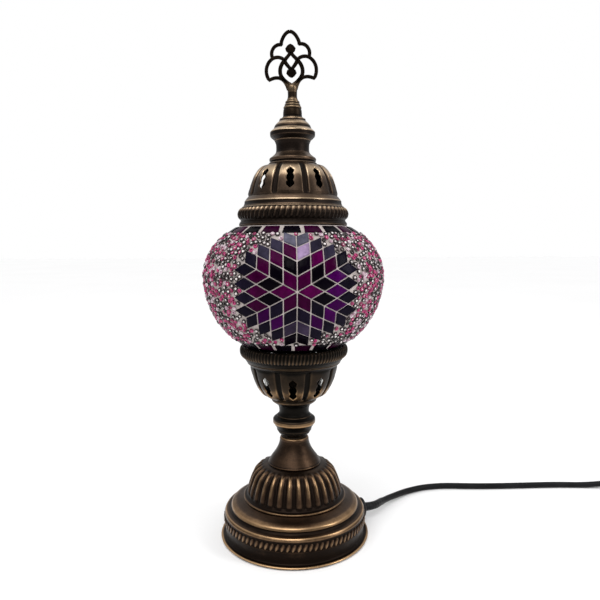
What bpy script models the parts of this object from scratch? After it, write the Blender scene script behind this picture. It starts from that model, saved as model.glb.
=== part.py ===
"""Mosaic glass table lamp: a brass foot and stem, a round mosaic glass globe between two pierced
galleries, a crown with an openwork finial, an E14 candle bulb, and a mains cord with switch and plug.

Lengths are in millimetres in the tables below and are scaled to metres when a mesh is made.
The origin is the centre of the foot on the table, +Z is up, and the front of the lamp faces -Y.
"""

import math

import bmesh
import bpy
from mathutils import Matrix, Vector

MM = 0.001
GAP = 0.3  # clearance between neighbouring pieces
WALL = 1.2  # spun brass sheet
STEPS = 24  # facets round a large turned piece
FINE_STEPS = 16  # facets round a small turned piece

ROD_R = 5.0  # M10 lamp tube
ROD_BORE_R = 5.3  # hole that the lamp tube passes through
STUD_R = 1.9  # M4 stud that the finial screws onto
STUD_BORE_R = 2.4

GLOBE_Z = 197.0  # height of the globe's widest circle
GLOBE_R = 65.5
GLOBE_UP = 46.0  # half height of the flatter upper half
GLOBE_DOWN = 62.0  # half height of the rounder lower half
SKIN = 1.3  # mosaic thickness
GLASS = 2.5  # glass thickness
TOP_HOLE_R = 31.0
BOTTOM_HOLE_R = 32.0

PETALS = 9  # pierced slots round each gallery
SLOT_WIDTH = 5.0

CORD_R = 2.5
CORD_Z = CORD_R + 0.1  # the cord's centreline on the table
GLAND_ANGLE = math.radians(16.3)  # behind +X, round the drum
GLAND_Z = 11.0
GLAND_TIP = 58.2  # distance of the gland's outer face from the axis
RELIEF_LENGTH = 24.0

SWITCH_LENGTH = 58.0
SWITCH_WIDTH = 24.0
SWITCH_CENTRE = (321.0, 72.0)

COIL_CENTRE = (350.0, 5.0)
COIL_R = 27.5  # middle of the turns
COIL_HALF = 7.6  # half width of the bundle
COIL_BASE = 0.9

PLUG_CENTRE = (281.0, -32.0, 7.1)
PLUG_SIZE = (36.0, 26.0, 13.6)
PIN_SPACING = 18.6

# The cord's route on the table: gland, strain relief, run to the switch, through it, and to the coil.
ROUTE = [
    (56.1, 16.4, 11.0),
    (60.6, 18.2, 10.8),
    (65.5, 23.0, 9.8),
    (71.0, 32.0, 8.0),
    (78.0, 41.8, 6.2),
    (85.0, 50.0, 4.8),
    (92.0, 57.6, 3.6),
    (99.0, 63.5, 2.9),
    (112.0, 70.5, CORD_Z),
    (125.0, 73.7, CORD_Z),
    (137.0, 74.7, CORD_Z),
    (155.0, 74.0, CORD_Z),
    (173.0, 73.7, CORD_Z),
    (194.0, 74.3, CORD_Z),
    (214.0, 75.3, CORD_Z),
    (236.0, 76.0, CORD_Z),
    (258.0, 75.4, CORD_Z),
    (276.0, 73.8, 4.4),
    (292.0, 72.0, 7.2),
    (321.0, 72.0, 7.2),
    (350.0, 72.0, 7.2),
    (363.0, 69.0, 5.6),
    (374.0, 60.5, 3.8),
    (380.5, 48.0, 2.9),
    (382.6, 34.0, CORD_Z),
    (382.7, 25.4, CORD_Z),
]
TAIL = [(333.0, -29.8, 10.6), (328.0, -30.6, 9.2), (322.0, -31.4, 8.0)]
PLUG_RELIEF = [(321.7, -31.4, 7.9), (311.0, -32.0, 7.2), (299.3, -32.0, 7.1)]


def clear_scene():
    for obj in list(bpy.data.objects):
        bpy.data.objects.remove(obj, do_unlink=True)


def collection(name):
    found = bpy.data.collections.new(name)
    bpy.context.scene.collection.children.link(found)
    return found


def material(name, colour, roughness, metallic=0.0, transmission=0.0):
    made = bpy.data.materials.new(name)
    made.use_nodes = True
    shader = made.node_tree.nodes["Principled BSDF"]
    shader.inputs["Base Color"].default_value = (*colour, 1.0)
    shader.inputs["Roughness"].default_value = roughness
    shader.inputs["Metallic"].default_value = metallic
    shader.inputs["Transmission Weight"].default_value = transmission
    made.diffuse_color = (*colour, 1.0)
    return made


clear_scene()
PARTS = collection("mosaic_glass_table_lamp")
CUTTERS = collection("cutters")

CAP_BRASS = material("cap_brass", (0.42, 0.31, 0.17), 0.35, 1.0)
DARK_BRASS = material("dark_brass", (0.11, 0.075, 0.045), 0.4, 1.0)
BASE_BRASS = material("base_brass", (0.24, 0.15, 0.07), 0.35, 1.0)
FINIAL_METAL = material("finial_metal", (0.05, 0.04, 0.03), 0.45, 1.0)
CLEAR_GLASS = material("clear_glass", (0.85, 0.83, 0.9), 0.05, 0.0, 0.9)
MOSAIC = material("mosaic", (0.3, 0.16, 0.26), 0.25)
STEEL = material("zinc_steel", (0.6, 0.6, 0.6), 0.3, 1.0)
SHELL_BRASS = material("shell_brass", (0.75, 0.6, 0.3), 0.25, 1.0)
BULB_GLASS = material("bulb_glass", (0.95, 0.94, 0.9), 0.1, 0.0, 0.9)
BLACK_PLASTIC = material("black_plastic", (0.02, 0.02, 0.02), 0.35)
BLACK_PVC = material("black_pvc", (0.015, 0.015, 0.015), 0.45)
BAKELITE = material("bakelite", (0.03, 0.025, 0.02), 0.3)
RUBBER = material("rubber", (0.05, 0.05, 0.05), 0.8)
FELT = material("felt", (0.03, 0.05, 0.03), 0.95)


def empty(name, location=(0.0, 0.0, 0.0)):
    made = bpy.data.objects.new(name, None)
    made.location = Vector(location) * MM
    PARTS.objects.link(made)
    return made


GLOBE_AXIS = empty("globe_axis")
CAP_AXIS = empty("cap_axis")
FINIAL_AXIS = empty("finial_axis")
BULB_AXIS = empty("bulb_axis")
ROCKER_AXIS = empty("rocker_axis", (SWITCH_CENTRE[0], SWITCH_CENTRE[1], 12.0))


def add_part(name, data, look, parent=None):
    made = bpy.data.objects.new(name, data)
    data.materials.append(look)
    PARTS.objects.link(made)
    made.parent = parent
    return made


def add_cutter(name, data):
    made = bpy.data.objects.new(name, data)
    CUTTERS.objects.link(made)
    made.hide_render = True
    made.display_type = "WIRE"
    return made


def profile_mesh(name, outline):
    """The turned outline as edges in the XZ plane, closed unless it starts and ends on the axis."""
    corners = [(r * MM, 0.0, z * MM) for r, z in outline]
    edges = [(i, i + 1) for i in range(len(corners) - 1)]
    if outline[0][0] > 0 or outline[-1][0] > 0:
        edges.append((len(corners) - 1, 0))
    mesh = bpy.data.meshes.new(name)
    mesh.from_pydata(corners, edges, [])
    return mesh


def turned(name, outline, look, steps=STEPS, parent=None):
    """A turned piece: the outline runs down its outer side and up its inner side."""
    made = add_part(name, profile_mesh(name, outline), look, parent)
    screw = made.modifiers.new("Turn", "SCREW")
    screw.axis = "Z"
    screw.steps = steps
    screw.render_steps = steps
    screw.use_merge_vertices = True
    screw.merge_threshold = 0.00005
    screw.use_smooth_shade = True
    return made


def ring(outer_r, inner_r, top, bottom):
    return [(outer_r, top), (outer_r, bottom), (inner_r, bottom), (inner_r, top)]


def cut(target, cutter):
    boolean = target.modifiers.new("Cut " + cutter.name, "BOOLEAN")
    boolean.operation = "DIFFERENCE"
    boolean.object = cutter
    return boolean


def prism_cutter(name, segments, placings):
    """Prisms of unit radius and unit depth, one for each placing matrix, in one mesh."""
    shape = bmesh.new()
    for placing in placings:
        bmesh.ops.create_cone(
            shape, cap_ends=True, segments=segments, radius1=1.0, radius2=1.0, depth=1.0, matrix=placing
        )
    bmesh.ops.recalc_face_normals(shape, faces=shape.faces)
    mesh = bpy.data.meshes.new(name)
    shape.to_mesh(mesh)
    shape.free()
    return add_cutter(name, mesh)


def radial_prism(angle, radius, height, half_width, half_height, depth):
    """A prism that points away from the axis at this angle and height, one corner up."""
    scale = Matrix.Diagonal((half_height * MM, half_width * MM, depth * MM, 1.0))
    lie_down = Matrix.Rotation(math.radians(90), 4, "Y")
    out = Matrix.Translation((radius * MM, 0.0, height * MM))
    return Matrix.Rotation(angle, 4, "Z") @ out @ lie_down @ scale


def slot_ring(name, low, high, radius):
    """Pointed slots, one for each petal, with the first one facing the front."""
    first = math.radians(-90)
    placings = [
        radial_prism(first + k * math.tau / PETALS, radius, (low + high) / 2, SLOT_WIDTH / 2 / 0.87,
                     (high - low) / 2, 16.0)
        for k in range(PETALS)
    ]
    return prism_cutter(name, 6, placings)


def box(name, size, centre, look, bevel=0.0, parent=None):
    shape = bmesh.new()
    bmesh.ops.create_cube(shape, size=1.0, matrix=Matrix.Diagonal((*[s * MM for s in size], 1.0)))
    mesh = bpy.data.meshes.new(name)
    shape.to_mesh(mesh)
    shape.free()
    made = add_part(name, mesh, look, parent)
    made.location = Vector(centre) * MM
    if bevel:
        rounding = made.modifiers.new("Round", "BEVEL")
        rounding.width = bevel * MM
        rounding.segments = 1
    return made


def curve_data(name, points, radius, tapers=None, cyclic=False):
    data = bpy.data.curves.new(name, "CURVE")
    data.dimensions = "3D"
    data.bevel_depth = radius * MM
    data.bevel_resolution = 2
    data.use_fill_caps = True
    spline = data.splines.new("POLY")
    spline.points.add(len(points) - 1)
    spline.use_cyclic_u = cyclic
    for k, place in enumerate(points):
        spline.points[k].co = (*(Vector(place) * MM), 1.0)
        spline.points[k].radius = tapers[k] if tapers else 1.0
    return data


def tube(name, points, radius, look, tapers=None, parent=None):
    return add_part(name, curve_data(name, points, radius, tapers), look, parent)


def smooth(points, samples=12):
    """A Catmull-Rom curve through the points."""
    nodes = [Vector(p) for p in points]
    nodes = [2 * nodes[0] - nodes[1]] + nodes + [2 * nodes[-1] - nodes[-2]]
    line = []
    for a, b, c, d in zip(nodes, nodes[1:], nodes[2:], nodes[3:]):
        for k in range(samples):
            t = k / samples
            line.append(
                0.5 * (2 * b + (c - a) * t + (2 * a - 5 * b + 4 * c - d) * t**2
                       + (3 * b - a - 3 * c + d) * t**3)
            )
    line.append(nodes[-2])
    return line


def distances(line):
    total = [0.0]
    for a, b in zip(line, line[1:]):
        total.append(total[-1] + (b - a).length)
    return total


def stretch(line, start, end, spacing):
    """Evenly spaced points of the line between two distances along it."""
    along = distances(line)
    count = max(2, round((end - start) / spacing) + 1)
    found = []
    for k in range(count):
        want = start + (end - start) * k / (count - 1)
        i = max(j for j in range(len(along) - 1) if along[j] <= want)
        share = (want - along[i]) / (along[i + 1] - along[i])
        found.append(line[i].lerp(line[i + 1], min(share, 1.0)))
    return found


def as_mesh(obj):
    """The curve object as a mesh object of the same name and place, its caps welded on."""
    bpy.context.view_layer.update()
    graph = bpy.context.evaluated_depsgraph_get()
    mesh = bpy.data.meshes.new_from_object(obj.evaluated_get(graph))
    shape = bmesh.new()
    shape.from_mesh(mesh)
    bmesh.ops.remove_doubles(shape, verts=shape.verts, dist=0.00001)
    shape.to_mesh(mesh)
    shape.free()
    name = obj.name
    parent = obj.parent
    place = obj.matrix_world.copy()
    bpy.data.objects.remove(obj, do_unlink=True)
    made = bpy.data.objects.new(name, mesh)
    PARTS.objects.link(made)
    made.parent = parent
    made.matrix_world = place
    return made


def flat_outline(name, outlines, half_thickness):
    """A filled flat shape in the XY plane; outlines after the first are holes."""
    data = bpy.data.curves.new(name, "CURVE")
    data.dimensions = "2D"
    data.fill_mode = "BOTH"
    data.extrude = half_thickness * MM
    for outline in outlines:
        spline = data.splines.new("POLY")
        spline.points.add(len(outline) - 1)
        spline.use_cyclic_u = True
        for k, (x, y) in enumerate(outline):
            spline.points[k].co = (x * MM, y * MM, 0.0, 1.0)
    return data


# ---- Globe ----

def globe_curve(inset, start_r, end_r, count):
    """Outline of the globe, inset from its outer surface, from a circle near the top to one below."""
    wide = GLOBE_R - inset
    up = GLOBE_UP - inset
    down = GLOBE_DOWN - inset
    first = math.acos(start_r / wide)
    last = -math.acos(end_r / wide)
    found = []
    for k in range(count):
        angle = first + (last - first) * k / (count - 1)
        height = (up if angle > 0 else down) * math.sin(angle)
        found.append((wide * math.cos(angle), GLOBE_Z + height))
    return found


def make_globe():
    inset = SKIN + GAP
    outside = globe_curve(inset, TOP_HOLE_R, BOTTOM_HOLE_R, 11)
    inside = globe_curve(inset + GLASS, TOP_HOLE_R - 1.0, BOTTOM_HOLE_R - 1.0, 11)[::-1]
    turned("globe_glass", outside + inside, CLEAR_GLASS, parent=GLOBE_AXIS)
    outside = globe_curve(0.0, 41.0, 41.0, 11)
    inside = globe_curve(SKIN, 40.5, 40.5, 11)[::-1]
    turned("mosaic_skin", outside + inside, MOSAIC, parent=GLOBE_AXIS)


# ---- Foot ----

def make_foot():
    turned("felt_pad", ring(50.5, 6.0, 1.1, 0.0), FELT)
    turned("bottom_plate", ring(51.8, 6.0, 2.6, 1.4), STEEL)
    drum = turned(
        "base_drum",
        [(37.0, 29.2), (43.5, 28.4), (46.8, 26.6), (48.2, 24.4), (52.1, 20.8), (53.4, 18.6), (53.7, 16.0),
         (53.7, 5.0), (54.6, 3.2), (56.3, 2.0), (56.3, 0.8), (52.2, 0.8), (52.4, 16.0), (51.0, 19.8),
         (47.0, 23.4), (45.6, 25.8), (43.0, 27.2), (37.0, 28.0)],
        BASE_BRASS,
    )
    hole = radial_prism(GLAND_ANGLE, 53.0, GLAND_Z, 4.5, 4.5, 8.0)
    cut(drum, prism_cutter("gland_hole", 12, [hole]))
    turned(
        "base_dome",
        [(ROD_BORE_R, 57.6), (20.2, 57.6), (22.6, 56.0), (26.4, 53.2), (30.4, 48.2), (33.2, 42.2),
         (34.6, 36.5), (35.8, 32.6), (38.4, 30.6), (38.4, 29.5), (34.8, 29.5), (33.3, 36.3), (31.9, 41.8),
         (29.2, 47.4), (25.6, 52.2), (21.8, 55.0), (19.8, 56.3), (ROD_BORE_R, 56.3)],
        BASE_BRASS,
    )
    turned(
        "base_cone",
        [(9.8, 75.6), (10.4, 73.2), (11.5, 70.3), (12.6, 67.0), (14.2, 64.0), (16.9, 60.9), (21.6, 58.8),
         (21.6, 57.9), (20.2, 57.9), (15.6, 60.2), (12.9, 63.6), (11.2, 67.0), (9.2, 73.2), (8.8, 74.2),
         (ROD_BORE_R, 74.2), (ROD_BORE_R, 75.6)],
        BASE_BRASS,
    )


# ---- Stem ----

def make_stem():
    turned(
        "stem_knop",
        [(12.6, 91.4), (14.3, 90.3), (15.6, 89.0), (16.0, 87.2), (15.9, 85.4), (15.3, 84.2), (13.8, 82.7),
         (13.0, 81.0), (12.2, 79.4), (10.7, 77.9), (9.4, 76.6), (9.4, 75.9), (ROD_BORE_R, 75.9),
         (ROD_BORE_R, 91.4)],
        DARK_BRASS, FINE_STEPS,
    )
    turned(
        "neck_spool",
        [(15.9, 105.8), (16.1, 104.4), (15.7, 102.9), (14.0, 101.3), (11.9, 99.8), (11.2, 96.0),
         (11.5, 93.6), (12.4, 91.7), (ROD_BORE_R, 91.7), (ROD_BORE_R, 105.8)],
        DARK_BRASS, FINE_STEPS,
    )
    turned("lamp_tube", ring(ROD_R, 3.5, 119.0, 46.0), STEEL, FINE_STEPS)
    turned("foot_washer", ring(12.0, ROD_BORE_R, 56.0, 54.7), STEEL, FINE_STEPS)
    turned("foot_nut", ring(9.8, 6.1, 54.4, 50.0), STEEL, 6)
    turned("gallery_nut", ring(9.8, 6.1, 112.0, 107.7), STEEL, 6)


# ---- Galleries ----

def make_lower_gallery():
    bowl = turned(
        "lower_gallery",
        [(34.8, 131.8), (33.9, 130.5), (32.1, 129.0), (30.9, 124.4), (28.8, 118.3), (25.6, 112.0),
         (22.9, 109.0), (20.9, 107.5), (17.7, 106.1), (ROD_BORE_R, 106.1), (ROD_BORE_R, 107.4),
         (17.2, 107.4), (20.2, 108.7), (24.4, 112.6), (27.6, 118.8), (29.7, 124.8), (30.9, 129.6),
         (33.2, 131.8)],
        DARK_BRASS,
    )
    cut(bowl, slot_ring("lower_slots", 112.5, 126.5, 30.0))
    turned(
        "lower_rim",
        [(38.4, 145.7), (39.6, 144.2), (39.8, 141.6), (39.3, 139.4), (37.1, 136.6), (35.2, 134.0),
         (34.8, 132.1), (33.4, 132.1), (33.9, 134.4), (35.8, 137.4), (37.4, 139.8), (37.4, 145.7)],
        DARK_BRASS,
    )
    turned("globe_seat_lower", ring(37.0, 30.2, 141.8, 140.6), STEEL)
    turned("globe_gasket_lower", ring(36.0, 30.6, 144.2, 142.1), RUBBER)


def make_cap():
    turned("globe_gasket_upper", ring(35.0, 29.6, 237.7, 236.2), RUBBER, parent=CAP_AXIS)
    turned("globe_seat_upper", ring(36.6, 29.0, 239.2, 238.0), STEEL, parent=CAP_AXIS)
    turned(
        "upper_rim",
        [(36.6, 246.9), (38.2, 244.8), (39.6, 243.0), (39.9, 241.4), (39.2, 239.0), (38.2, 236.8),
         (39.0, 234.8), (38.4, 233.6), (37.4, 233.6), (36.9, 236.8), (37.9, 239.6), (38.4, 241.6),
         (36.8, 244.4), (35.0, 246.9)],
        CAP_BRASS, parent=CAP_AXIS,
    )
    dome = turned(
        "upper_gallery",
        [(STUD_BORE_R, 277.2), (17.6, 277.2), (21.8, 275.2), (26.3, 270.8), (29.4, 265.0), (31.2, 259.0),
         (32.3, 253.4), (34.4, 251.6), (36.2, 247.2), (34.6, 247.2), (33.2, 250.6), (31.1, 252.8),
         (29.8, 259.0), (28.0, 264.6), (25.0, 270.0), (21.0, 273.9), (17.2, 275.9), (STUD_BORE_R, 275.9)],
        CAP_BRASS, parent=CAP_AXIS,
    )
    cut(dome, slot_ring("upper_slots", 256.0, 270.5, 30.0))
    turned(
        "crown_neck",
        [(12.9, 294.1), (12.3, 290.4), (12.1, 287.0), (12.6, 284.4), (14.6, 282.2), (16.6, 280.4),
         (17.0, 277.5), (STUD_BORE_R, 277.5), (STUD_BORE_R, 294.1)],
        CAP_BRASS, parent=CAP_AXIS,
    )
    turned(
        "crown_cone",
        [(8.0, 309.0), (10.2, 306.8), (12.6, 304.4), (13.6, 302.4), (14.9, 300.0), (16.4, 298.0),
         (16.4, 296.2), (14.4, 294.4), (STUD_BORE_R, 294.4), (STUD_BORE_R, 309.0)],
        CAP_BRASS, parent=CAP_AXIS,
    )


# ---- Finial ----

def mirrored(side):
    """A closed outline from its right side, listed from top to bottom on the axis."""
    left = [(-x, z) for x, z in side[::-1] if x > 0.01]
    return side + left


def arc(centre, radius, start, end, count):
    return [
        (centre[0] + radius * math.cos(math.radians(a)), centre[1] + radius * math.sin(math.radians(a)))
        for a in (start + (end - start) * k / (count - 1) for k in range(count))
    ]


def make_finial():
    """Three tiers of lobes like a leafy crown, pierced, on a short turned stem."""
    crown = [(0.0, 371.0), (3.2, 367.4), (6.6, 363.6)]
    middle = arc((9.6, 355.2), 5.2, 72, -42, 5)
    lower = arc((13.2, 342.6), 6.5, 66, -72, 6)
    foot = [(9.0, 335.4), (5.6, 332.4), (3.4, 328.6), (0.0, 328.6)]
    outline = mirrored(crown + middle + lower + foot)[:-1]
    top_hole = mirrored([(0.0, 366.6), (4.2, 361.6), (2.6, 358.6), (0.0, 357.4)])
    side_hole = [(10.2, 358.0), (12.4, 354.6), (10.8, 350.6), (14.4, 346.8), (17.2, 342.4), (14.6, 338.2),
                 (9.4, 337.6), (11.0, 342.4), (8.8, 347.6), (5.6, 351.0), (5.6, 355.6)]
    other_hole = [(-x, z) for x, z in side_hole[::-1]]
    heart_hole = mirrored([(0.0, 350.6), (4.4, 346.2), (6.6, 341.8), (4.6, 337.8), (0.0, 334.4)])
    data = flat_outline("finial", [outline, top_hole, side_hole, other_hole, heart_hole], 1.2)
    head = add_part("finial", data, FINIAL_METAL, FINIAL_AXIS)
    head.rotation_euler = (math.radians(90), 0.0, 0.0)
    head = as_mesh(head)
    stem_outline = [(0.0, 331.4), (3.6, 331.4), (4.1, 330.0), (3.5, 326.6), (3.6, 323.6), (4.6, 322.0),
                    (STUD_BORE_R, 322.0), (STUD_BORE_R, 326.4), (0.0, 326.4)]
    stem = turned("finial_stem", stem_outline, FINIAL_METAL, FINE_STEPS)
    PARTS.objects.unlink(stem)
    CUTTERS.objects.link(stem)
    stem.hide_render = True
    stem.display_type = "WIRE"
    join = head.modifiers.new("Stem", "BOOLEAN")
    join.operation = "UNION"
    join.object = stem
    turned(
        "finial_collar",
        [(4.8, 321.7), (5.8, 319.0), (6.7, 317.2), (6.9, 312.6), (7.4, 311.4), (8.0, 309.3),
         (STUD_BORE_R, 309.3), (STUD_BORE_R, 321.7)],
        FINIAL_METAL, FINE_STEPS, FINIAL_AXIS,
    )


# ---- Harp that carries the crown ----

def make_harp():
    saddle = box("harp_saddle", (43.0, 16.0, 1.2), (0.0, 0.0, 112.9), STEEL)
    hole = Matrix.Translation((0.0, 0.0, 112.9 * MM)) @ Matrix.Diagonal(
        (ROD_BORE_R * MM, ROD_BORE_R * MM, 6.0 * MM, 1.0))
    cut(saddle, prism_cutter("saddle_hole", 12, [hole]))
    right = [(19.8, 0.0, 114.4), (21.8, 0.0, 122.0), (25.0, 0.0, 136.0), (25.6, 0.0, 160.0),
             (25.6, 0.0, 200.0), (23.0, 0.0, 222.0), (16.0, 0.0, 237.0), (7.0, 0.0, 243.0)]
    left = [(-x, y, z) for x, y, z in right[::-1]]
    line = smooth(right + [(0.0, 0.0, 244.2)] + left)
    length = distances(line)[-1]
    tube("harp", stretch(line, 0.0, length, 11.0), 1.6, STEEL)
    turned(
        "harp_stud",
        [(0.0, 325.0), (STUD_R, 325.0), (STUD_R, 248.6), (6.0, 248.6), (6.0, 246.2), (0.0, 246.2)],
        STEEL, 12,
    )


# ---- Lampholder and bulb ----

def make_lampholder():
    turned(
        "holder_cap",
        [(13.2, 124.0), (13.6, 121.8), (13.6, 116.2), (10.4, 113.8), (ROD_BORE_R, 113.8),
         (ROD_BORE_R, 117.3), (11.8, 117.3), (11.8, 124.0)],
        BAKELITE, FINE_STEPS,
    )
    turned(
        "holder_body",
        [(12.4, 150.6), (13.2, 149.4), (13.2, 124.3), (3.0, 124.3), (3.0, 125.5), (8.7, 125.5),
         (8.7, 150.6)],
        BAKELITE, FINE_STEPS,
    )
    turned("holder_screw_shell", ring(8.4, 7.6, 149.0, 127.5), SHELL_BRASS, FINE_STEPS)
    turned("holder_contact", [(0.0, 126.8), (5.0, 126.8), (5.0, 125.8), (0.0, 125.8)], SHELL_BRASS, 12)


def make_bulb():
    outside = [(6.4, 149.8), (6.4, 152.4), (9.6, 158.4), (14.2, 167.0), (17.0, 175.0), (17.5, 182.0)]
    outside = outside[::-1]
    tip = [(0.0, 227.0), (2.2, 224.6), (5.4, 215.0), (9.6, 204.0), (14.2, 193.6), (16.8, 187.4)]
    inside = [(5.4, 149.8), (5.4, 152.8), (8.8, 159.2), (13.3, 167.6), (16.0, 175.4), (16.5, 182.0),
              (15.8, 187.0), (13.2, 193.2), (8.7, 203.6), (4.6, 214.6), (0.0, 225.0)]
    turned("bulb_envelope", tip + outside + inside, BULB_GLASS, FINE_STEPS, BULB_AXIS)
    turned(
        "bulb_cap",
        [(5.0, 149.5), (6.9, 149.5), (6.9, 131.6), (5.2, 130.4), (3.9, 130.4), (3.9, 132.4), (5.0, 132.4)],
        SHELL_BRASS, FINE_STEPS, BULB_AXIS,
    )
    turned(
        "bulb_contact",
        [(0.0, 130.0), (4.8, 130.0), (4.6, 128.6), (2.6, 127.2), (0.0, 127.2)],
        BLACK_PLASTIC, 12, BULB_AXIS,
    )
    turned(
        "filament_stem",
        [(0.0, 206.0), (1.2, 205.0), (1.4, 172.0), (2.6, 168.0), (3.0, 150.0), (4.6, 147.0), (4.6, 133.0),
         (0.0, 133.0)],
        BULB_GLASS, 12, BULB_AXIS,
    )


# ---- Cord ----

def radial_place(height):
    """Turns local +Z so that it points away from the axis at the gland."""
    return Matrix.Rotation(GLAND_ANGLE, 4, "Z") @ Matrix.Translation((0.0, 0.0, height * MM)) @ (
        Matrix.Rotation(math.radians(90), 4, "Y"))


def make_gland():
    gland = turned(
        "cord_gland",
        [(3.8, GLAND_TIP), (4.8, 57.2), (6.0, 56.7), (6.0, 54.1), (4.1, 54.1), (4.1, 47.6), (2.9, 47.6),
         (2.9, GLAND_TIP)],
        BLACK_PLASTIC, FINE_STEPS,
    )
    gland.matrix_world = radial_place(GLAND_Z)
    nut = turned("gland_nut", ring(7.4, 5.2, 50.8, 47.9), BLACK_PLASTIC, 6)
    nut.matrix_world = radial_place(GLAND_Z)


def make_cord():
    across = Vector((math.cos(GLAND_ANGLE), math.sin(GLAND_ANGLE), 0.0))
    rise = Vector((0.0, 0.0, 1.0))
    inner = [across * GLAND_TIP + rise * GLAND_Z, across * 48.0 + rise * GLAND_Z,
             across * 38.0 + rise * 11.6, across * 24.0 + rise * 16.0, across * 11.0 + rise * 26.0,
             across * 3.0 + rise * 38.0, rise * 50.0, rise * 70.0, rise * 123.2]
    line = smooth(inner)
    tube("inner_lead", stretch(line, 0.0, distances(line)[-1], 11.0), CORD_R, BLACK_PVC)

    line = smooth(ROUTE)
    along = distances(line)
    relief = stretch(line, 0.3, RELIEF_LENGTH, 4.0)
    tapers = [1.32 - 0.26 * k / (len(relief) - 1) for k in range(len(relief))]
    tube("strain_relief", relief, CORD_R, BLACK_PLASTIC, tapers)

    half = SWITCH_LENGTH / 2 + GAP
    enter = min(along[k] for k in range(len(line)) if line[k].x >= SWITCH_CENTRE[0] - half) - 0.8
    leave = max(
        along[k] for k in range(len(line)) if line[k].x <= SWITCH_CENTRE[0] + half and line[k].y > 65) + 2.0
    tube("cord_run", stretch(line, RELIEF_LENGTH + GAP, enter, 9.0), CORD_R, BLACK_PVC)
    tube("cord_to_coil", stretch(line, leave, along[-1], 8.0), CORD_R, BLACK_PVC)
    tube("cord_tail", stretch(smooth(TAIL), 0.0, distances(smooth(TAIL))[-1], 5.0), CORD_R, BLACK_PVC)

    corner = 3.0
    low = COIL_BASE
    high = COIL_BASE + 2 * COIL_HALF
    outer = COIL_R + COIL_HALF
    inner_r = COIL_R - COIL_HALF
    coil = turned(
        "cord_coil",
        [(outer - corner, high), (outer, high - corner), (outer, low + corner), (outer - corner, low),
         (inner_r + corner, low), (inner_r, low + corner), (inner_r, high - corner),
         (inner_r + corner, high)],
        BLACK_PVC,
    )
    coil.location = (COIL_CENTRE[0] * MM, COIL_CENTRE[1] * MM, 0.0)

    tall = COIL_HALF + GAP
    wide = COIL_HALF + 0.7
    band = 0.4
    frame = [[(-wide - band, -tall - band), (wide + band, -tall - band), (wide + band, tall + band),
              (-wide - band, tall + band)],
             [(-wide, -tall), (-wide, tall), (wide, tall), (wide, -tall)]]
    tie = add_part("cord_tie", flat_outline("cord_tie", frame, 3.0), BLACK_PLASTIC)
    turn = math.radians(135)
    stand = Matrix.Rotation(math.radians(90), 4, "X")
    centre = (COIL_CENTRE[0] * MM, COIL_CENTRE[1] * MM, 0.0)
    out = Matrix.Translation((COIL_R * MM, 0.0, (COIL_BASE + COIL_HALF) * MM))
    tie.matrix_world = Matrix.Translation(centre) @ Matrix.Rotation(turn, 4, "Z") @ out @ stand
    as_mesh(tie)


def make_switch():
    x, y = SWITCH_CENTRE
    box("switch_base", (SWITCH_LENGTH, SWITCH_WIDTH, 7.0), (x, y, 3.7), BLACK_PLASTIC, 1.5)
    cover = box("switch_cover", (SWITCH_LENGTH, SWITCH_WIDTH, 6.6), (x, y, 10.8), BLACK_PLASTIC, 1.5)
    window = Matrix.Translation((x * MM, y * MM, 10.8 * MM)) @ Matrix.Diagonal(
        (8.4 * math.sqrt(2) * MM, 5.6 * math.sqrt(2) * MM, 10.0 * MM, 1.0)) @ (
        Matrix.Rotation(math.radians(45), 4, "Z"))
    cut(cover, prism_cutter("switch_window", 4, [window]))
    box("switch_rocker", (14.0, 9.4, 6.4), (0.0, 0.0, 1.0), BLACK_PLASTIC, 0.6, ROCKER_AXIS)


def make_plug():
    x, y, z = PLUG_CENTRE
    tube("plug_relief", smooth(PLUG_RELIEF, 3), CORD_R, BLACK_PLASTIC, [1.06, 1.1, 1.18, 1.26, 1.3, 1.4, 1.5])
    body = box("plug_body", PLUG_SIZE, PLUG_CENTRE, BLACK_PLASTIC, 3.0)
    body.modifiers["Round"].segments = 2
    for side, name in ((-1, "plug_pin_front"), (1, "plug_pin_back")):
        shape = bmesh.new()
        bmesh.ops.create_cone(
            shape, cap_ends=True, segments=12, radius1=2.0 * MM, radius2=2.0 * MM, depth=19.0 * MM,
            matrix=Matrix.Rotation(math.radians(90), 4, "Y"))
        mesh = bpy.data.meshes.new(name)
        shape.to_mesh(mesh)
        shape.free()
        pin = add_part(name, mesh, STEEL)
        pin.location = Vector((x - PLUG_SIZE[0] / 2 - GAP - 9.5, y + side * PIN_SPACING / 2, z)) * MM


make_foot()
make_stem()
make_lower_gallery()
make_globe()
make_cap()
make_finial()
make_harp()
make_lampholder()
make_bulb()
make_gland()
make_cord()
make_switch()
make_plug()


def crisp_edges(made):
    """Keeps the corners of a smooth-shaded turned piece sharp."""
    split = made.modifiers.new("Crisp edges", "EDGE_SPLIT")
    split.split_angle = math.radians(35)
    split.use_edge_sharp = False


for piece in PARTS.objects:
    if "Turn" in piece.modifiers:
        crisp_edges(piece)
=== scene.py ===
"""Looks of the mosaic glass table lamp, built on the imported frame.

Tables are in millimetres, with the lamp's axis at x = y = 0 and the table top at z = 0.
"""

import contextlib
import itertools
import math
import random

import bmesh
import bpy
import numpy as np
from mathutils import Matrix, Vector


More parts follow.
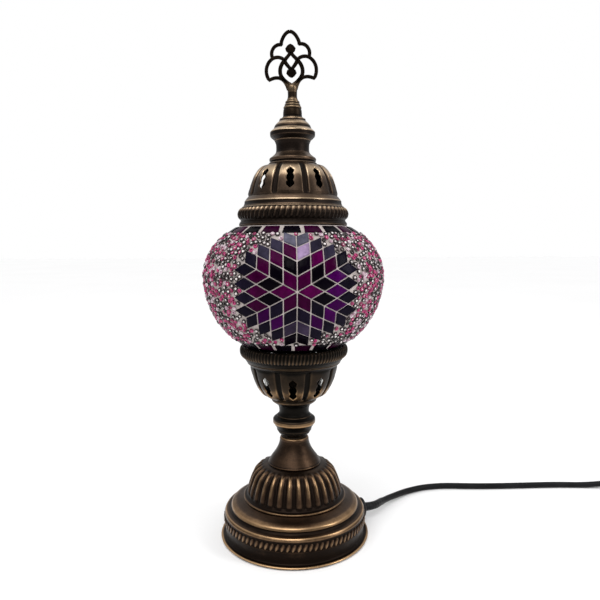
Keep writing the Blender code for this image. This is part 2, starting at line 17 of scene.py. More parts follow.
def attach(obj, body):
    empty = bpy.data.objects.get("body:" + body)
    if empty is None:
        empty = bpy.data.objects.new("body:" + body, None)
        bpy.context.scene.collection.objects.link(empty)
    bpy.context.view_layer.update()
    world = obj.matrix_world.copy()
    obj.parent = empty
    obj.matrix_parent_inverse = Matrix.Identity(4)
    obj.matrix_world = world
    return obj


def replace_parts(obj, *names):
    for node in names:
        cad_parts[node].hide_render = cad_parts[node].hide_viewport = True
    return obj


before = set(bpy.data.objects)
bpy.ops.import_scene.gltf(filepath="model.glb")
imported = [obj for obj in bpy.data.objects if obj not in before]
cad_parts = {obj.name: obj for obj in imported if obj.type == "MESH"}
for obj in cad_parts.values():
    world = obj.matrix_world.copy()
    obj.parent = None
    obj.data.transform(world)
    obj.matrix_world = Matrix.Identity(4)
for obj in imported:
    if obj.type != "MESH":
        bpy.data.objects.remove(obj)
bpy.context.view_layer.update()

MM = 0.001
FOOT, GLOBE, CAP, FINIAL, ROCKER = "lamp_foot", "globe", "cap", "finial_top", "rocker"

# ---------------------------------------------------------------- camera, light and floor

CAMERA_AT = (4.8, -424.0, 221.0)
CAMERA_DOWN = math.radians(5.7)
CAMERA_ROLL = math.radians(-0.25)
CAMERA_LENS = 34.5
CEILING_POWER = 1.5
# Name, place, aim, width and height in metres, and power.
LAMPS = (
    ("left_box", (-0.9, -0.55, 0.55), (0, 0, 0.2), (0.25, 0.8), 0.5),
    ("right_box", (0.95, -0.35, 0.6), (0, 0, 0.2), (0.25, 0.8), 4.4),
    ("front_box", (0.0, -1.1, 0.95), (0, 0, 0.25), (0.5, 0.35), 2.6),
)


def placed(name, data):
    """A new object in the scene with this data."""
    made = bpy.data.objects.new(name, data)
    bpy.context.scene.collection.objects.link(made)
    return made


def add_camera():
    data = bpy.data.cameras.new("camera")
    data.lens = CAMERA_LENS
    data.sensor_width = 36.0
    data.clip_start = 0.01
    data.clip_end = 20.0
    made = placed("camera", data)
    pitch = Matrix.Rotation(math.radians(90) - CAMERA_DOWN, 4, "X")
    roll = Matrix.Rotation(CAMERA_ROLL, 4, "Z")
    made.matrix_world = Matrix.Translation(Vector(CAMERA_AT) * MM) @ pitch @ roll
    bpy.context.scene.camera = made


def aimed(direction):
    """The rotation that points a light this way."""
    return Vector(direction).to_track_quat("-Z", "Y").to_euler()


def add_area(name, place, aim, size, power):
    data = bpy.data.lights.new(name, "AREA")
    data.shape = "RECTANGLE"
    data.size, data.size_y = size
    data.energy = power
    made = placed(name, data)
    made.location = place
    made.rotation_euler = aimed(Vector(aim) - Vector(place))


def add_studio():
    """A white sweep behind, a room that is dim in front, a bright ceiling and three soft lamps."""
    world = bpy.data.worlds.new("studio")
    n = Nodes("studio", world)
    direction = n.add("ShaderNodeSeparateXYZ")
    n.link(n.add("ShaderNodeTexCoord").outputs["Generated"], direction.inputs["Vector"])
    room = n.add("ShaderNodeBackground")
    climb = n.ramp(direction.outputs["Z"], [(0.02, (0.26, 0.26, 0.27)), (0.75, (1.0, 1.0, 1.0))])
    n.link(climb, room.inputs["Color"])
    n.link(n.spread(direction.outputs["Y"], 0.42, 1.0, -0.75, 0.35), room.inputs["Strength"])
    sweep = n.tree.nodes["Background"]
    sweep.inputs["Color"].default_value = (1.0, 1.0, 1.0, 1.0)
    mix = n.add("ShaderNodeMixShader")
    n.link(n.add("ShaderNodeLightPath").outputs["Is Camera Ray"], mix.inputs["Fac"])
    n.link(room.outputs["Background"], mix.inputs[1])
    n.link(sweep.outputs["Background"], mix.inputs[2])
    n.link(mix.outputs["Shader"], n.tree.nodes["World Output"].inputs["Surface"])
    bpy.context.scene.world = world
    bpy.context.scene.view_settings.view_transform = "Standard"
    sun = bpy.data.lights.new("ceiling", "SUN")
    sun.energy = CEILING_POWER
    sun.angle = math.radians(50)
    placed("ceiling", sun).rotation_euler = aimed((0.25, 0.62, -1.0))
    for lamp in LAMPS:
        add_area(*lamp)


# ---------------------------------------------------------------- mesh helpers


def new_object(name, mesh, body, look):
    """A smooth-shaded piece that rides on this body, and takes its finish from the look's slot."""
    made = placed(name, mesh)
    mesh.materials.append(look)
    mesh.shade_smooth()
    if body:
        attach(made, body)
    return made


def mesh_from(name, points, faces, attributes=None):
    """A mesh in metres from points in millimetres, with one float attribute for each named list."""
    mesh = bpy.data.meshes.new(name)
    mesh.from_pydata([tuple(p) for p in (np.asarray(points, float) * MM)], [], [tuple(f) for f in faces])
    for key, values in (attributes or {}).items():
        layer = mesh.attributes.new(key, "FLOAT", "POINT")
        layer.data.foreach_set("value", np.asarray(values, np.float32).ravel())
    mesh.validate()
    mesh.update()
    return mesh


@contextlib.contextmanager
def edited(mesh):
    """The mesh's shape with double points merged, to be changed; it is written back afterwards."""
    shape = bmesh.new()
    shape.from_mesh(mesh)
    bmesh.ops.remove_doubles(shape, verts=shape.verts, dist=0.00001)
    yield shape
    shape.to_mesh(mesh)
    shape.free()


def grid_faces(rows, columns, wrap_rows=False, wrap_columns=True):
    """Quads of a grid whose point (i, j) is number i * columns + j."""
    faces = []
    for i in range(rows if wrap_rows else rows - 1):
        for j in range(columns if wrap_columns else columns - 1):
            here, above = i * columns, ((i + 1) % rows) * columns
            on = (j + 1) % columns
            faces.append((here + j, above + j, above + on, here + on))
    return faces


def shifted(faces, start, flip=False):
    """The faces with start added to each point's number, and turned round where flip is set."""
    order = (0, 3, 2, 1) if flip else (0, 1, 2, 3)
    return [tuple(start + face[k] for k in order) for face in faces]


def tube(name, radius, resolution, look):
    """Curve data for round bars or cords of this radius."""
    data = bpy.data.curves.new(name, "CURVE")
    data.dimensions = "3D"
    data.bevel_depth = radius * MM
    data.bevel_resolution = resolution
    data.use_fill_caps = True
    data.materials.append(look)
    return data


def add_line(data, points, scales=()):
    """A smooth open line of the curve; scales multiply the radius at each point."""
    spline = data.splines.new("POLY")
    spline.points.add(len(points) - 1)
    spline.use_smooth = True
    for point, place in zip(spline.points, points):
        point.co = (place[0] * MM, place[1] * MM, place[2] * MM, 1.0)
    for point, scale in zip(spline.points, scales):
        point.radius = scale


CORNER_ROUND = 0.35
# Wear and painted light are read from a profile by how far a point stands out from the points one span before
# and after it: patina and painted shade in grooves, rubbing and painted highlight on ridges.
WEAR_AND_LIGHT_SPAN = 1.1
WEAR_AND_LIGHT_HEIGHT = 0.72
FLAT_WEAR_AND_LIGHT = 0.42


def smooth_line(points, samples=8):
    """A Catmull-Rom line through the points, in any number of dimensions."""
    p = [np.asarray(q, float) for q in points]
    p = [2 * p[0] - p[1]] + p + [2 * p[-1] - p[-2]]
    line = []
    for a, b, c, d in zip(p, p[1:], p[2:], p[3:]):
        for k in range(samples):
            t = k / samples
            line.append(0.5 * (2 * b + (c - a) * t + (2 * a - 5 * b + 4 * c - d) * t**2
                               + (3 * b - a - 3 * c + d) * t**3))
    line.append(p[-2])
    return line


def fine_profile(outline, samples=6):
    """A turned outline made smooth; an entry of three numbers is a crisp corner with a small round."""
    runs = [[]]
    for entry in outline:
        place = np.array(entry[:2], float)
        runs[-1].append(place)
        if len(entry) == 3:
            runs.append([place])
    parts = []
    for run in runs:
        if len(run) > 1:
            parts.append(smooth_line(run, samples) if len(run) > 2 else list(np.linspace(run[0], run[1], 5)))
    joined = list(parts[0])
    for part in parts[1:]:
        corner = joined[-1]
        back = joined[-2] - corner
        on = part[1] - corner
        reach = min(CORNER_ROUND, 0.45 * np.linalg.norm(back), 0.45 * np.linalg.norm(on))
        joined[-1] = corner + back / np.linalg.norm(back) * reach
        before = joined[-1]
        after = corner + on / np.linalg.norm(on) * reach
        for t in (0.25, 0.5, 0.75, 1.0):
            joined.append((1 - t) ** 2 * before + 2 * t * (1 - t) * corner + t * t * after)
        joined.extend(part[1:])
    return np.array(joined)


def line_normals(line):
    ahead = np.gradient(line, axis=0)
    normal = np.stack([-ahead[:, 1], ahead[:, 0]], 1)
    length = np.maximum(np.linalg.norm(normal, axis=1, keepdims=True), 1e-9)
    return normal / length


def wear_and_painted_light_of(line):
    """How far each point of a profile stands out: near 1 on ridges, for rubbed colour and painted highlight,
    near 0 in grooves, for patina and painted shade.
    """
    along = np.concatenate([[0], np.cumsum(np.linalg.norm(np.diff(line, axis=0), axis=1))])
    normal = line_normals(line)
    number = np.arange(len(line))
    found = np.zeros(len(line))
    for k, at in enumerate(along):
        ends = [np.interp(at + way * WEAR_AND_LIGHT_SPAN, along, number) for way in (-1, 1)]
        low, high = [np.array([np.interp(i, number, line[:, c]) for c in (0, 1)]) for i in ends]
        found[k] = np.dot(line[k] - (low + high) / 2, normal[k])
    return np.clip(FLAT_WEAR_AND_LIGHT + found / WEAR_AND_LIGHT_HEIGHT, 0.0, 1.0)


def lathe(name, outline, body, look, steps=144, relief=None, wear_and_painted_light_add=None, samples=6, node=None):
    """A closed turned shell that stands for the CAD's node, if one is named.

    relief(angle, r, z) gives (outward shift, change of wear and painted light) for each point.
    """
    line = fine_profile(list(outline) + [outline[0]], samples)[:-1]
    normal = line_normals(np.vstack([line, line[:1]]))[:-1]
    wear_and_painted_light = wear_and_painted_light_of(np.vstack([line, line[:1]]))[:-1]
    # Each piece's own offsets, mostly painted highlight bands and painted shade.
    if wear_and_painted_light_add is not None:
        wear_and_painted_light = np.clip(wear_and_painted_light + np.array([wear_and_painted_light_add(r, z) for r, z in line]), 0, 1)
    r = np.repeat(line[:, :1], steps, 1)
    z = np.repeat(line[:, 1:], steps, 1)
    worn_and_lit = np.repeat(wear_and_painted_light[:, None], steps, 1)
    theta = np.repeat((np.arange(steps) * math.tau / steps)[None, :], len(line), 0)
    if relief is not None:
        shift, change = relief(theta, r, z)
        r = r + shift * normal[:, :1]
        z = z + shift * normal[:, 1:]
        worn_and_lit = np.clip(worn_and_lit + change, 0, 1)
    points = np.stack([r * np.cos(theta), r * np.sin(theta), z], -1).reshape(-1, 3)
    mesh = mesh_from(name, points, grid_faces(len(line), steps, wrap_rows=True), {"wear_and_painted_light": worn_and_lit.ravel()})
    made = new_object(name, mesh, body, look)
    if node:
        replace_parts(made, node)
    return made


# ---------------------------------------------------------------- materials


class Nodes:
    """Short calls for building the node tree of a new material, or of the world."""

    def __init__(self, name, owner=None):
        self.look = owner or bpy.data.materials.new(name)
        self.look.use_nodes = True
        self.tree = self.look.node_tree
        self.shader = self.tree.nodes.get("Principled BSDF")

    def add(self, kind, **values):
        made = self.tree.nodes.new(kind)
        for key, value in values.items():
            setattr(made, key, value)
        return made

    def link(self, source, target):
        self.tree.links.new(source, target)

    def set(self, **values):
        for key, value in values.items():
            self.shader.inputs[key.replace("_", " ")].default_value = value

    def attribute(self, name):
        return self.add("ShaderNodeAttribute", attribute_name=name).outputs["Fac"]

    def place(self, scale):
        coordinate = self.add("ShaderNodeTexCoord")
        mapping = self.add("ShaderNodeMapping")
        mapping.inputs["Scale"].default_value = scale
        self.link(coordinate.outputs["Object"], mapping.inputs["Vector"])
        return mapping.outputs["Vector"]

    def noise(self, scale, detail, rough, stretch=(1, 1, 1)):
        made = self.add("ShaderNodeTexNoise")
        made.inputs["Scale"].default_value = scale
        made.inputs["Detail"].default_value = detail
        made.inputs["Roughness"].default_value = rough
        self.link(self.place(stretch), made.inputs["Vector"])
        return made.outputs["Fac"]

    def math(self, operation, a, b, clamp=False):
        made = self.add("ShaderNodeMath", operation=operation, use_clamp=clamp)
        for socket, value in zip(made.inputs, (a, b)):
            if isinstance(value, (int, float)):
                socket.default_value = value
            else:
                self.link(value, socket)
        return made.outputs[0]

    def ramp(self, factor, stops):
        made = self.add("ShaderNodeValToRGB")
        band = made.color_ramp
        while len(band.elements) < len(stops):
            band.elements.new(0.5)
        for element, (at, colour) in zip(band.elements, stops):
            element.position = at
            element.color = (*colour, 1.0)
        self.link(factor, made.inputs["Fac"])
        return made.outputs["Color"]

    def spread(self, factor, low, high, start=0.0, end=1.0):
        made = self.add("ShaderNodeMapRange")
        made.inputs["From Min"].default_value = start
        made.inputs["From Max"].default_value = end
        made.inputs["To Min"].default_value = low
        made.inputs["To Max"].default_value = high
        self.link(factor, made.inputs["Value"])
        return made.outputs["Result"]

    def colour(self, factor, *stops):
        self.link(self.ramp(factor, stops), self.shader.inputs["Base Color"])

    def rough(self, factor, low, high):
        self.link(self.spread(factor, low, high), self.shader.inputs["Roughness"])

    def bump(self, height, strength, distance):
        made = self.add("ShaderNodeBump")
        made.inputs["Strength"].default_value = strength
        made.inputs["Distance"].default_value = distance
        self.link(height, made.inputs["Height"])
        self.link(made.outputs["Normal"], self.shader.inputs["Normal"])


def brass(name, recess, middle, ridge, rough=(0.5, 0.26), turned=True):
    """Antiqued brass: dark patina and painted shade in the recesses, rubbed colour and painted highlights on
    the ridges, fine turning lines.
    """
    n = Nodes(name)
    wear_and_painted_light = n.attribute("wear_and_painted_light")
    cloud = n.noise(90.0, 5.0, 0.65)
    speck = n.noise(900.0, 3.0, 0.6)
    factor = n.math("ADD", wear_and_painted_light, n.math("MULTIPLY", n.math("SUBTRACT", cloud, 0.5), 0.45))
    factor = n.math("ADD", factor, n.math("MULTIPLY", n.math("SUBTRACT", speck, 0.5), 0.18), clamp=True)
    # The recess colour holds patina and painted shade, the ridge colour rubbed brass and painted highlight.
    n.colour(factor, (0.12, recess), (0.56, middle), (1.0, ridge))
    n.rough(factor, rough[0], rough[1])
    n.set(Metallic=1.0)
    lines = n.noise(1500.0, 3.0, 0.6, (0.02, 0.02, 1.0)) if turned else n.noise(700.0, 4.0, 0.6)
    n.bump(n.math("ADD", n.math("MULTIPLY", lines, 0.5), speck), 0.16, 0.0002)
    return n.look


def plastic(name, colour, rough=0.38, grain=900.0):
    n = Nodes(name)
    speck = n.noise(grain, 3.0, 0.6)
    cloud = n.noise(60.0, 3.0, 0.5)
    low = tuple(0.5 * c for c in colour)
    high = tuple(1.2 * c for c in colour)
    n.colour(cloud, (0.3, low), (0.7, high))
    n.rough(speck, rough - 0.06, rough + 0.1)
    n.set(Specular_IOR_Level=0.10)
    n.bump(speck, 0.12, 0.0002)
    return n.look


def plated(name, colour, rough=0.25):
    n = Nodes(name)
    cloud = n.noise(120.0, 4.0, 0.6)
    scratch = n.noise(600.0, 3.0, 0.6, (0.05, 0.05, 1.0))
    low = tuple(0.7 * c for c in colour)
    n.colour(cloud, (0.25, low), (0.75, colour))
    n.rough(scratch, rough - 0.08, rough + 0.16)
    n.set(Metallic=1.0)
    n.bump(scratch, 0.1, 0.0002)
    return n.look


def clear_glass(name, colour, rough=0.04):
    n = Nodes(name)
    cloud = n.noise(40.0, 2.0, 0.5)
    low = tuple(0.94 * c for c in colour)
    n.colour(cloud, (0.3, low), (0.7, colour))
    n.set(Transmission_Weight=1.0, Roughness=rough, IOR=1.46)
    n.bump(cloud, 0.08, 0.001)
    return n.look


# The cap's brass has lighter colours as painted highlight; the pieces under the globe use a darker copy of
# the brass as painted shade.
CAP_BRASS = brass("cap_brass", (0.014, 0.010, 0.008), (0.110, 0.072, 0.047), (0.62, 0.46, 0.30), (0.46, 0.27))
SHADED_BRASS = brass("dark_brass", (0.008, 0.007, 0.006), (0.050, 0.034, 0.022), (0.36, 0.22, 0.11),
                   (0.48, 0.28))
BASE_BRASS = brass("base_brass", (0.012, 0.008, 0.006), (0.085, 0.050, 0.030), (0.46, 0.29, 0.15),
                   (0.46, 0.27))
FINIAL_METAL = brass("finial_metal", (0.006, 0.004, 0.003), (0.028, 0.019, 0.012), (0.20, 0.14, 0.085),
                     (0.5, 0.36), False)
STEEL = plated("zinc_steel", (0.62, 0.62, 0.60))
BLACK_STEEL = plated("blackened_steel", (0.020, 0.019, 0.018), 0.5)
SHELL_BRASS = plated("shell_brass", (0.80, 0.62, 0.30), 0.2)
BAKELITE = plastic("bakelite", (0.020, 0.014, 0.010), 0.25)
RUBBER = plastic("rubber", (0.016, 0.016, 0.016), 0.7, 1500.0)
BLACK_PLASTIC = plastic("black_plastic", (0.012, 0.012, 0.013), 0.36)
CORD_PVC = plastic("cord_pvc", (0.008, 0.008, 0.009), 0.42, 600.0)
GLASS = clear_glass("globe_clear_glass", (0.95, 0.95, 0.97))
BULB_GLASS = clear_glass("bulb_clear_glass", (0.98, 0.97, 0.94))


def felt_look():
    n = Nodes("felt")
    fibre = n.noise(2600.0, 5.0, 0.7)
    n.colour(fibre, (0.3, (0.008, 0.016, 0.010)), (0.7, (0.030, 0.055, 0.032)))
    n.set(Roughness=0.95, Sheen_Weight=0.4)
    n.bump(fibre, 0.8, 0.0006)
    return n.look


FELT = felt_look()

# ---------------------------------------------------------------- cord

CORD_D = 5.0
CORD_Z = CORD_D / 2 + 0.1
GLAND_EXIT = (56.1, 16.4, 11.0)
GLAND_ANGLE = math.radians(16.3)
COIL_CENTRE = (350.0, 5.0)
ROUTE = [
    GLAND_EXIT, (60.6, 18.2, 10.8), (65.5, 23.0, 9.8), (71.0, 32.0, 8.0), (78.0, 41.8, 6.2),
    (85.0, 50.0, 4.8), (92.0, 57.6, 3.6), (99.0, 63.5, 2.9), (112.0, 70.5, CORD_Z),
    (125.0, 73.7, CORD_Z), (137.0, 74.7, CORD_Z), (155.0, 74.0, CORD_Z), (173.0, 73.7, CORD_Z),
    (194.0, 74.3, CORD_Z), (214.0, 75.3, CORD_Z), (236.0, 76.0, CORD_Z), (258.0, 75.4, CORD_Z),
    (276.0, 73.8, 4.4), (292.0, 72.0, 7.2), (306.0, 72.0, 5.7), (321.0, 72.0, 5.3), (336.0, 72.0, 5.7),
    (350.0, 72.0, 7.2), (363.0, 69.0, 5.6), (374.0, 60.5, 3.8), (380.5, 48.0, 2.9),
    (382.6, 34.0, CORD_Z), (382.7, 25.4, CORD_Z),
]
TAIL = [(333.0, -29.8, 10.6), (328.0, -30.6, 9.2), (322.0, -31.4, 8.0), (311.0, -32.0, 7.2),
        (299.6, -32.0, 7.1)]
TURNS = [(32.6, 3.5), (27.5, 3.5), (22.4, 3.5), (22.4, 8.6), (27.5, 8.6), (32.6, 8.6), (27.5, 13.6),
         (32.6, 13.6)]
POINTS_PER_TURN = 28
LAST_TURN = 0.22


def coil_points():
    """Clockwise turns beside and on each other, each easing across to the next."""
    found = []
    total = len(TURNS) - 1 + LAST_TURN
    count = round(total * POINTS_PER_TURN)
    for k in range(count + 1):
        turn = total * k / count
        i = int(turn)
        share = turn - i
        r, z = TURNS[i]
        if i + 1 < len(TURNS) and share > 0.75:
            ease = (share - 0.75) / 0.25
            ease = ease * ease * (3 - 2 * ease)
            r += (TURNS[i + 1][0] - r) * ease
            z += (TURNS[i + 1][1] - z) * ease
        angle = -math.tau * turn
        found.append((COIL_CENTRE[0] + r * math.cos(angle), COIL_CENTRE[1] + r * math.sin(angle), z))
    return found


def add_cord():
    """The cord's curve and its length in metres."""
    line = smooth_line(ROUTE, 5)
    coil = coil_points()
    join = smooth_line([line[-2], line[-1], coil[2], coil[3]], 4)[4:-4]
    end = smooth_line([coil[-2], coil[-1], TAIL[0], TAIL[1]], 5)[5:-5]
    points = line[:-1] + join + coil[3:] + end[1:] + smooth_line(TAIL, 4)[1:]
    data = tube("mains_cord", CORD_D / 2, 5, CORD_PVC)
    add_line(data, points)
    cord = placed("mains_cord", data)
    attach(cord, FOOT)
    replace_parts(cord, "cord_run", "cord_to_coil", "cord_coil", "cord_tail")
    steps = np.diff(np.array([tuple(q) for q in points]), axis=0)
    return cord, float(np.linalg.norm(steps, axis=1).sum() * MM)


add_camera()
add_studio()
mains_cord, mains_cord_length = add_cord()

# ---------------------------------------------------------------- foot

RIBS = 30
TEETH = 86
ROPE_RIDGES = 64
LOWER_RIDGES = 96
PETALS = 9


def window(value, low, high, soft):
    """1 between low and high, easing to 0 over soft."""
    rise = np.clip((value - low + soft) / soft, 0, 1)
    fall = np.clip((high - value + soft) / soft, 0, 1)
    return (rise * rise * (3 - 2 * rise)) * (fall * fall * (3 - 2 * fall))


def dome_relief(theta, r, z):
    wave = np.cos(theta * RIBS)
    hold = window(z, 34.8, 51.4, 2.9) * (r > 20)
    rib = np.sign(wave) * np.abs(wave) ** 0.8
    # The ribs' tops are lighter and the gaps darker: painted highlight, and patina with painted shade in the
    # gaps. High on the ribs a painted highlight band, low down painted shade.
    rib_highlight = 0.24 * window(z, 43.0, 51.0, 8.0) - 0.10 * window(z, 30.0, 37.0, 4.0)
    return 0.85 * rib * hold, (0.27 * rib - 0.16 + (rib > 0) * rib * rib_highlight) * hold


def tooth_relief(theta, r, z):
    """Leaning rice-grain teeth pressed out of the drum's band."""
    up = (z - 12.2) / 5.1
    phase = (theta * TEETH / math.tau - 0.42 * (up - 0.5)) % 1.0 - 0.5
    inside = (up > 0) & (up < 1)
    width = 0.45 * np.sqrt(np.clip(1 - (2 * np.clip(up, 0, 1) - 1) ** 2, 0, 1))
    body = np.clip(1 - (phase / np.maximum(width, 0.03)) ** 2, 0, 1) * inside
    hold = r > 52.6
    band = window(z, 12.1, 17.4, 0.5) * hold
    # Painted highlight on the teeth, brightest low on each, and painted shade on the band between them.
    change = (0.56 + 0.34 * np.clip(1 - up, 0, 1)) * body * hold - 0.14 * band
    return (np.sqrt(body) - 0.25) * band, change


# Painted shade on the drum's wall and the foot of its rim, a painted highlight line on the rim and a painted
# highlight band on the shoulder.
def drum_painted_light(r, z):
    if r > 52 and 3.4 < z < 20.2:
        return -0.32 if z < 18.6 else -0.08
    if r > 54.6:
        return 0.10 if 1.5 < z < 2.6 else -0.22
    if z < 24.6:
        return 0.0
    return 0.20 * math.exp(-(((r - 46.4) / 2.6) ** 2)) - 0.05


def make_foot():
    lathe(
        "drum",
        [(37.6, 29.3), (40.0, 28.2), (42.5, 27.4), (45.2, 26.7), (47.4, 25.4), (48.1, 23.9, 1),
         (48.0, 22.6), (49.2, 21.5), (50.8, 21.1), (52.2, 20.9, 1), (53.0, 19.6), (53.1, 18.8),
         (53.1, 17.0), (53.1, 15.0), (53.1, 12.8), (53.2, 11.8), (52.9, 9.0), (52.4, 5.6), (52.5, 3.4),
         (53.4, 2.4), (55.2, 2.3), (56.0, 1.8), (55.8, 1.1), (55.0, 0.8, 1), (51.4, 0.8, 1), (51.5, 10.0),
         (51.9, 18.8), (47.0, 21.6), (45.4, 25.2), (37.6, 27.9, 1)],
        FOOT, BASE_BRASS, steps=TEETH * 10, relief=tooth_relief,
        wear_and_painted_light_add=drum_painted_light, node="base_drum",
    )
    lathe(
        "ribbed_dome",
        [(5.3, 55.2, 1), (17.5, 55.2, 1), (20.2, 55.0), (22.8, 54.3), (26.4, 52.3), (29.8, 48.9),
         (31.9, 44.8), (33.4, 40.6), (34.6, 36.5), (35.2, 33.4), (36.2, 31.6), (38.2, 31.0), (38.6, 30.4),
         (38.3, 29.7, 1), (35.0, 29.6, 1), (33.6, 36.3), (31.7, 41.8), (28.9, 46.8), (25.2, 50.7),
         (21.8, 52.9), (19.4, 53.8, 1), (5.3, 53.8, 1)],
        FOOT, BASE_BRASS, steps=RIBS * 16, relief=dome_relief,
        # Darker on the ring at its foot and on its flat top: painted shade.
        wear_and_painted_light_add=lambda r, z: -0.34 if z < 34 else (-0.26 if z > 53.2 else -0.04), node="base_dome",
    )
    lathe(
        "cone",
        [(5.3, 75.6, 1), (9.4, 75.6), (10.4, 75.2), (10.9, 74.2), (11.0, 72.8), (11.4, 70.6), (12.3, 68.0),
         (13.7, 65.2), (15.4, 62.6), (17.1, 60.3), (18.5, 58.2), (19.4, 56.7), (19.8, 56.0),
         (19.7, 55.5, 1), (18.7, 55.5, 1), (16.4, 58.8), (14.0, 62.2), (12.0, 66.0), (10.3, 70.4),
         (9.6, 73.8, 1), (5.3, 74.2, 1)],
        FOOT, BASE_BRASS, steps=180,
        # Darker all over, most at its flared foot: painted shade.
        wear_and_painted_light_add=lambda r, z: -0.24 if z > 73.6 else (-0.44 if z < 57.0 else -0.15), node="base_cone",
    )


# ---------------------------------------------------------------- stem


def make_stem():
    lathe(
        "knop",
        [(5.3, 91.4, 1), (12.9, 91.4), (14.0, 91.0), (15.0, 90.4), (15.6, 89.8, 1), (15.9, 89.2),
         (16.0, 87.8), (15.9, 86.4), (15.3, 85.6, 1), (14.6, 84.6), (13.8, 83.4), (13.2, 82.2),
         (13.0, 80.8, 1), (12.4, 80.4), (12.1, 79.4), (11.2, 78.2), (10.0, 77.2), (9.5, 76.6),
         (9.4, 75.9, 1), (5.3, 75.9, 1)],
        FOOT, SHADED_BRASS,
        # A painted highlight band round the knop's widest part; painted shade above and below it, most on
        # top.
        wear_and_painted_light_add=lambda r, z: 0.58 * window(z, 85.7, 88.5, 0.4) * (r > 15) - (0.40 if z < 90 else 0.60),
        node="stem_knop",
    )
    lathe(
        "spool",
        [(5.3, 105.8, 1), (16.0, 105.8), (16.8, 105.4), (17.0, 104.5), (16.7, 103.5), (15.8, 102.7, 1),
         (14.2, 101.6), (12.6, 100.4), (11.7, 98.9), (11.2, 96.4), (11.2, 94.8), (11.7, 93.4),
         (12.8, 92.2), (12.9, 91.7, 1), (5.3, 91.7, 1)],
        # Darker all over, most at its foot: painted shade under the bowl.
        FOOT, SHADED_BRASS, wear_and_painted_light_add=lambda r, z: -0.28 if z > 102 else (-0.50 if z < 93 else -0.24),
        node="neck_spool",
    )


# ---------------------------------------------------------------- pierced galleries


SHELL_THICK = 1.2
PETAL_SIDE = 24
PETAL_LEVELS = 26
SLOT_POINTS = 300
# Fixed low value on the shells' inner skins: painted shade inside the dome and the bowl.
INSIDE_SHADE = 0.08


def slot_outline():
    """A pointed slot with three scallops a side, in a box from -1 to 1; it starts at the top."""
    right = []
    for k in range(SLOT_POINTS):
        v = 1 - 2 * k / SLOT_POINTS
        lobes = 0.70 + 0.30 * abs(math.cos(math.pi * v / 0.62))
        taper = min(1.0, (1 - abs(v)) / 0.30) ** 0.8
        right.append((lobes * taper, v))
    return np.array(right + [(-x, -y) for x, y in right])


def petal_edge(petal, tall):
    """A petal's edge as (angle, length down the profile), from a top corner and round."""
    side = PETAL_SIDE
    edge = [(-0.5 + k / side, 0.0) for k in range(side)]
    edge += [(0.5, k / (side * 2)) for k in range(side * 2)]
    edge += [(0.5 - k / side, 1.0) for k in range(side)]
    edge += [(-0.5, 1 - k / (side * 2)) for k in range(side * 2)]
    return np.array([(u * petal, s * tall) for u, s in edge])


def slot_ring(edge, slot, line, along):
    """The slot's point in the direction of each point of the edge. slot is (low z, high z, half width)."""
    at_low, at_high = [np.interp(-z, -line[:, 1], along) for z in slot[:2]]
    middle, half_tall = (at_low + at_high) / 2, abs(at_low - at_high) / 2
    r_mid = np.interp(middle, along, line[:, 0])
    hole = slot_outline() * (slot[2] / r_mid, -half_tall) + (0.0, middle)
    centre, to_mm = np.array([0.0, middle]), np.array([r_mid, 1.0])
    hole, edge = (hole - centre) * to_mm, (edge - centre) * to_mm
    bearing = np.arctan2(edge[:, 1], edge[:, 0])
    hole_bearing = np.arctan2(hole[:, 1], hole[:, 0])
    order = np.argsort(hole_bearing)
    size = np.linalg.norm(hole, axis=1)
    reach = np.interp(bearing, hole_bearing[order], size[order], period=math.tau)
    return centre + np.stack([np.cos(bearing) * reach, np.sin(bearing) * reach], 1) / to_mm


def pierced_shell(name, rows, slot, grooves, body, look, first, node):
    """A dome or bowl of petals between two heights, which stands for the CAD's node.

    rows is its profile from top to bottom. Each petal is a sheet of rings of points between its
    scalloped slot and its edge, and the inner skin repeats the outer one.
    """
    line = fine_profile(rows)
    along = np.concatenate([[0], np.cumsum(np.linalg.norm(np.diff(line, axis=0), axis=1))])
    profile = np.column_stack([line, line_normals(line), wear_and_painted_light_of(line)]).T
    petal = math.tau / PETALS
    edge = petal_edge(petal, along[-1])
    ring = slot_ring(edge, slot, line, along)
    count = len(edge)
    points, wear_and_painted_light = [], []
    for skin in (0, 1):
        for p in range(PETALS):
            for level in range(PETAL_LEVELS + 1):
                u, s = (ring + (edge - ring) * (level / PETAL_LEVELS) ** 1.25).T
                r, z, nr, nz, base = [np.interp(s, along, column) for column in profile]
                shift, change = grooves(u, r, z, petal)
                shift = shift - (SHELL_THICK if skin else 0.35 * np.exp(-(level / 2.2) ** 2))
                angle = first + p * petal + u
                rr = r + nr * shift
                points.append(np.stack([rr * np.cos(angle), rr * np.sin(angle), z + nz * shift], 1))
                # Painted highlight along each slot's edge.
                slot_edge_highlight = 0.25 * np.exp(-((level - 1.0) / 1.6) ** 2)
                wear_and_painted_light.append(np.full(count, INSIDE_SHADE) if skin else np.clip(base + change + slot_edge_highlight, 0, 1))
    per_petal = (PETAL_LEVELS + 1) * count
    sheet = grid_faces(PETAL_LEVELS + 1, count)
    faces = []
    for p in range(PETALS * 2):
        faces += shifted(sheet, p * per_petal, flip=p >= PETALS)
    rim = PETAL_LEVELS * count
    walls = [(0, k) for k in range(count)]
    walls += [(rim, k) for k in (*range(PETAL_SIDE), *range(PETAL_SIDE * 3, PETAL_SIDE * 4))]
    for p in range(PETALS):
        outer, inner = p * per_petal, (PETALS + p) * per_petal
        for start, k in walls:
            a, b = start + k, start + (k + 1) % count
            faces.append((outer + a, outer + b, inner + b, inner + a))
    mesh = mesh_from(name, np.vstack(points), faces, {"wear_and_painted_light": np.concatenate(wear_and_painted_light)})
    with edited(mesh) as shape:
        bmesh.ops.recalc_face_normals(shape, faces=shape.faces)
    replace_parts(new_object(name, mesh, body, look), node)


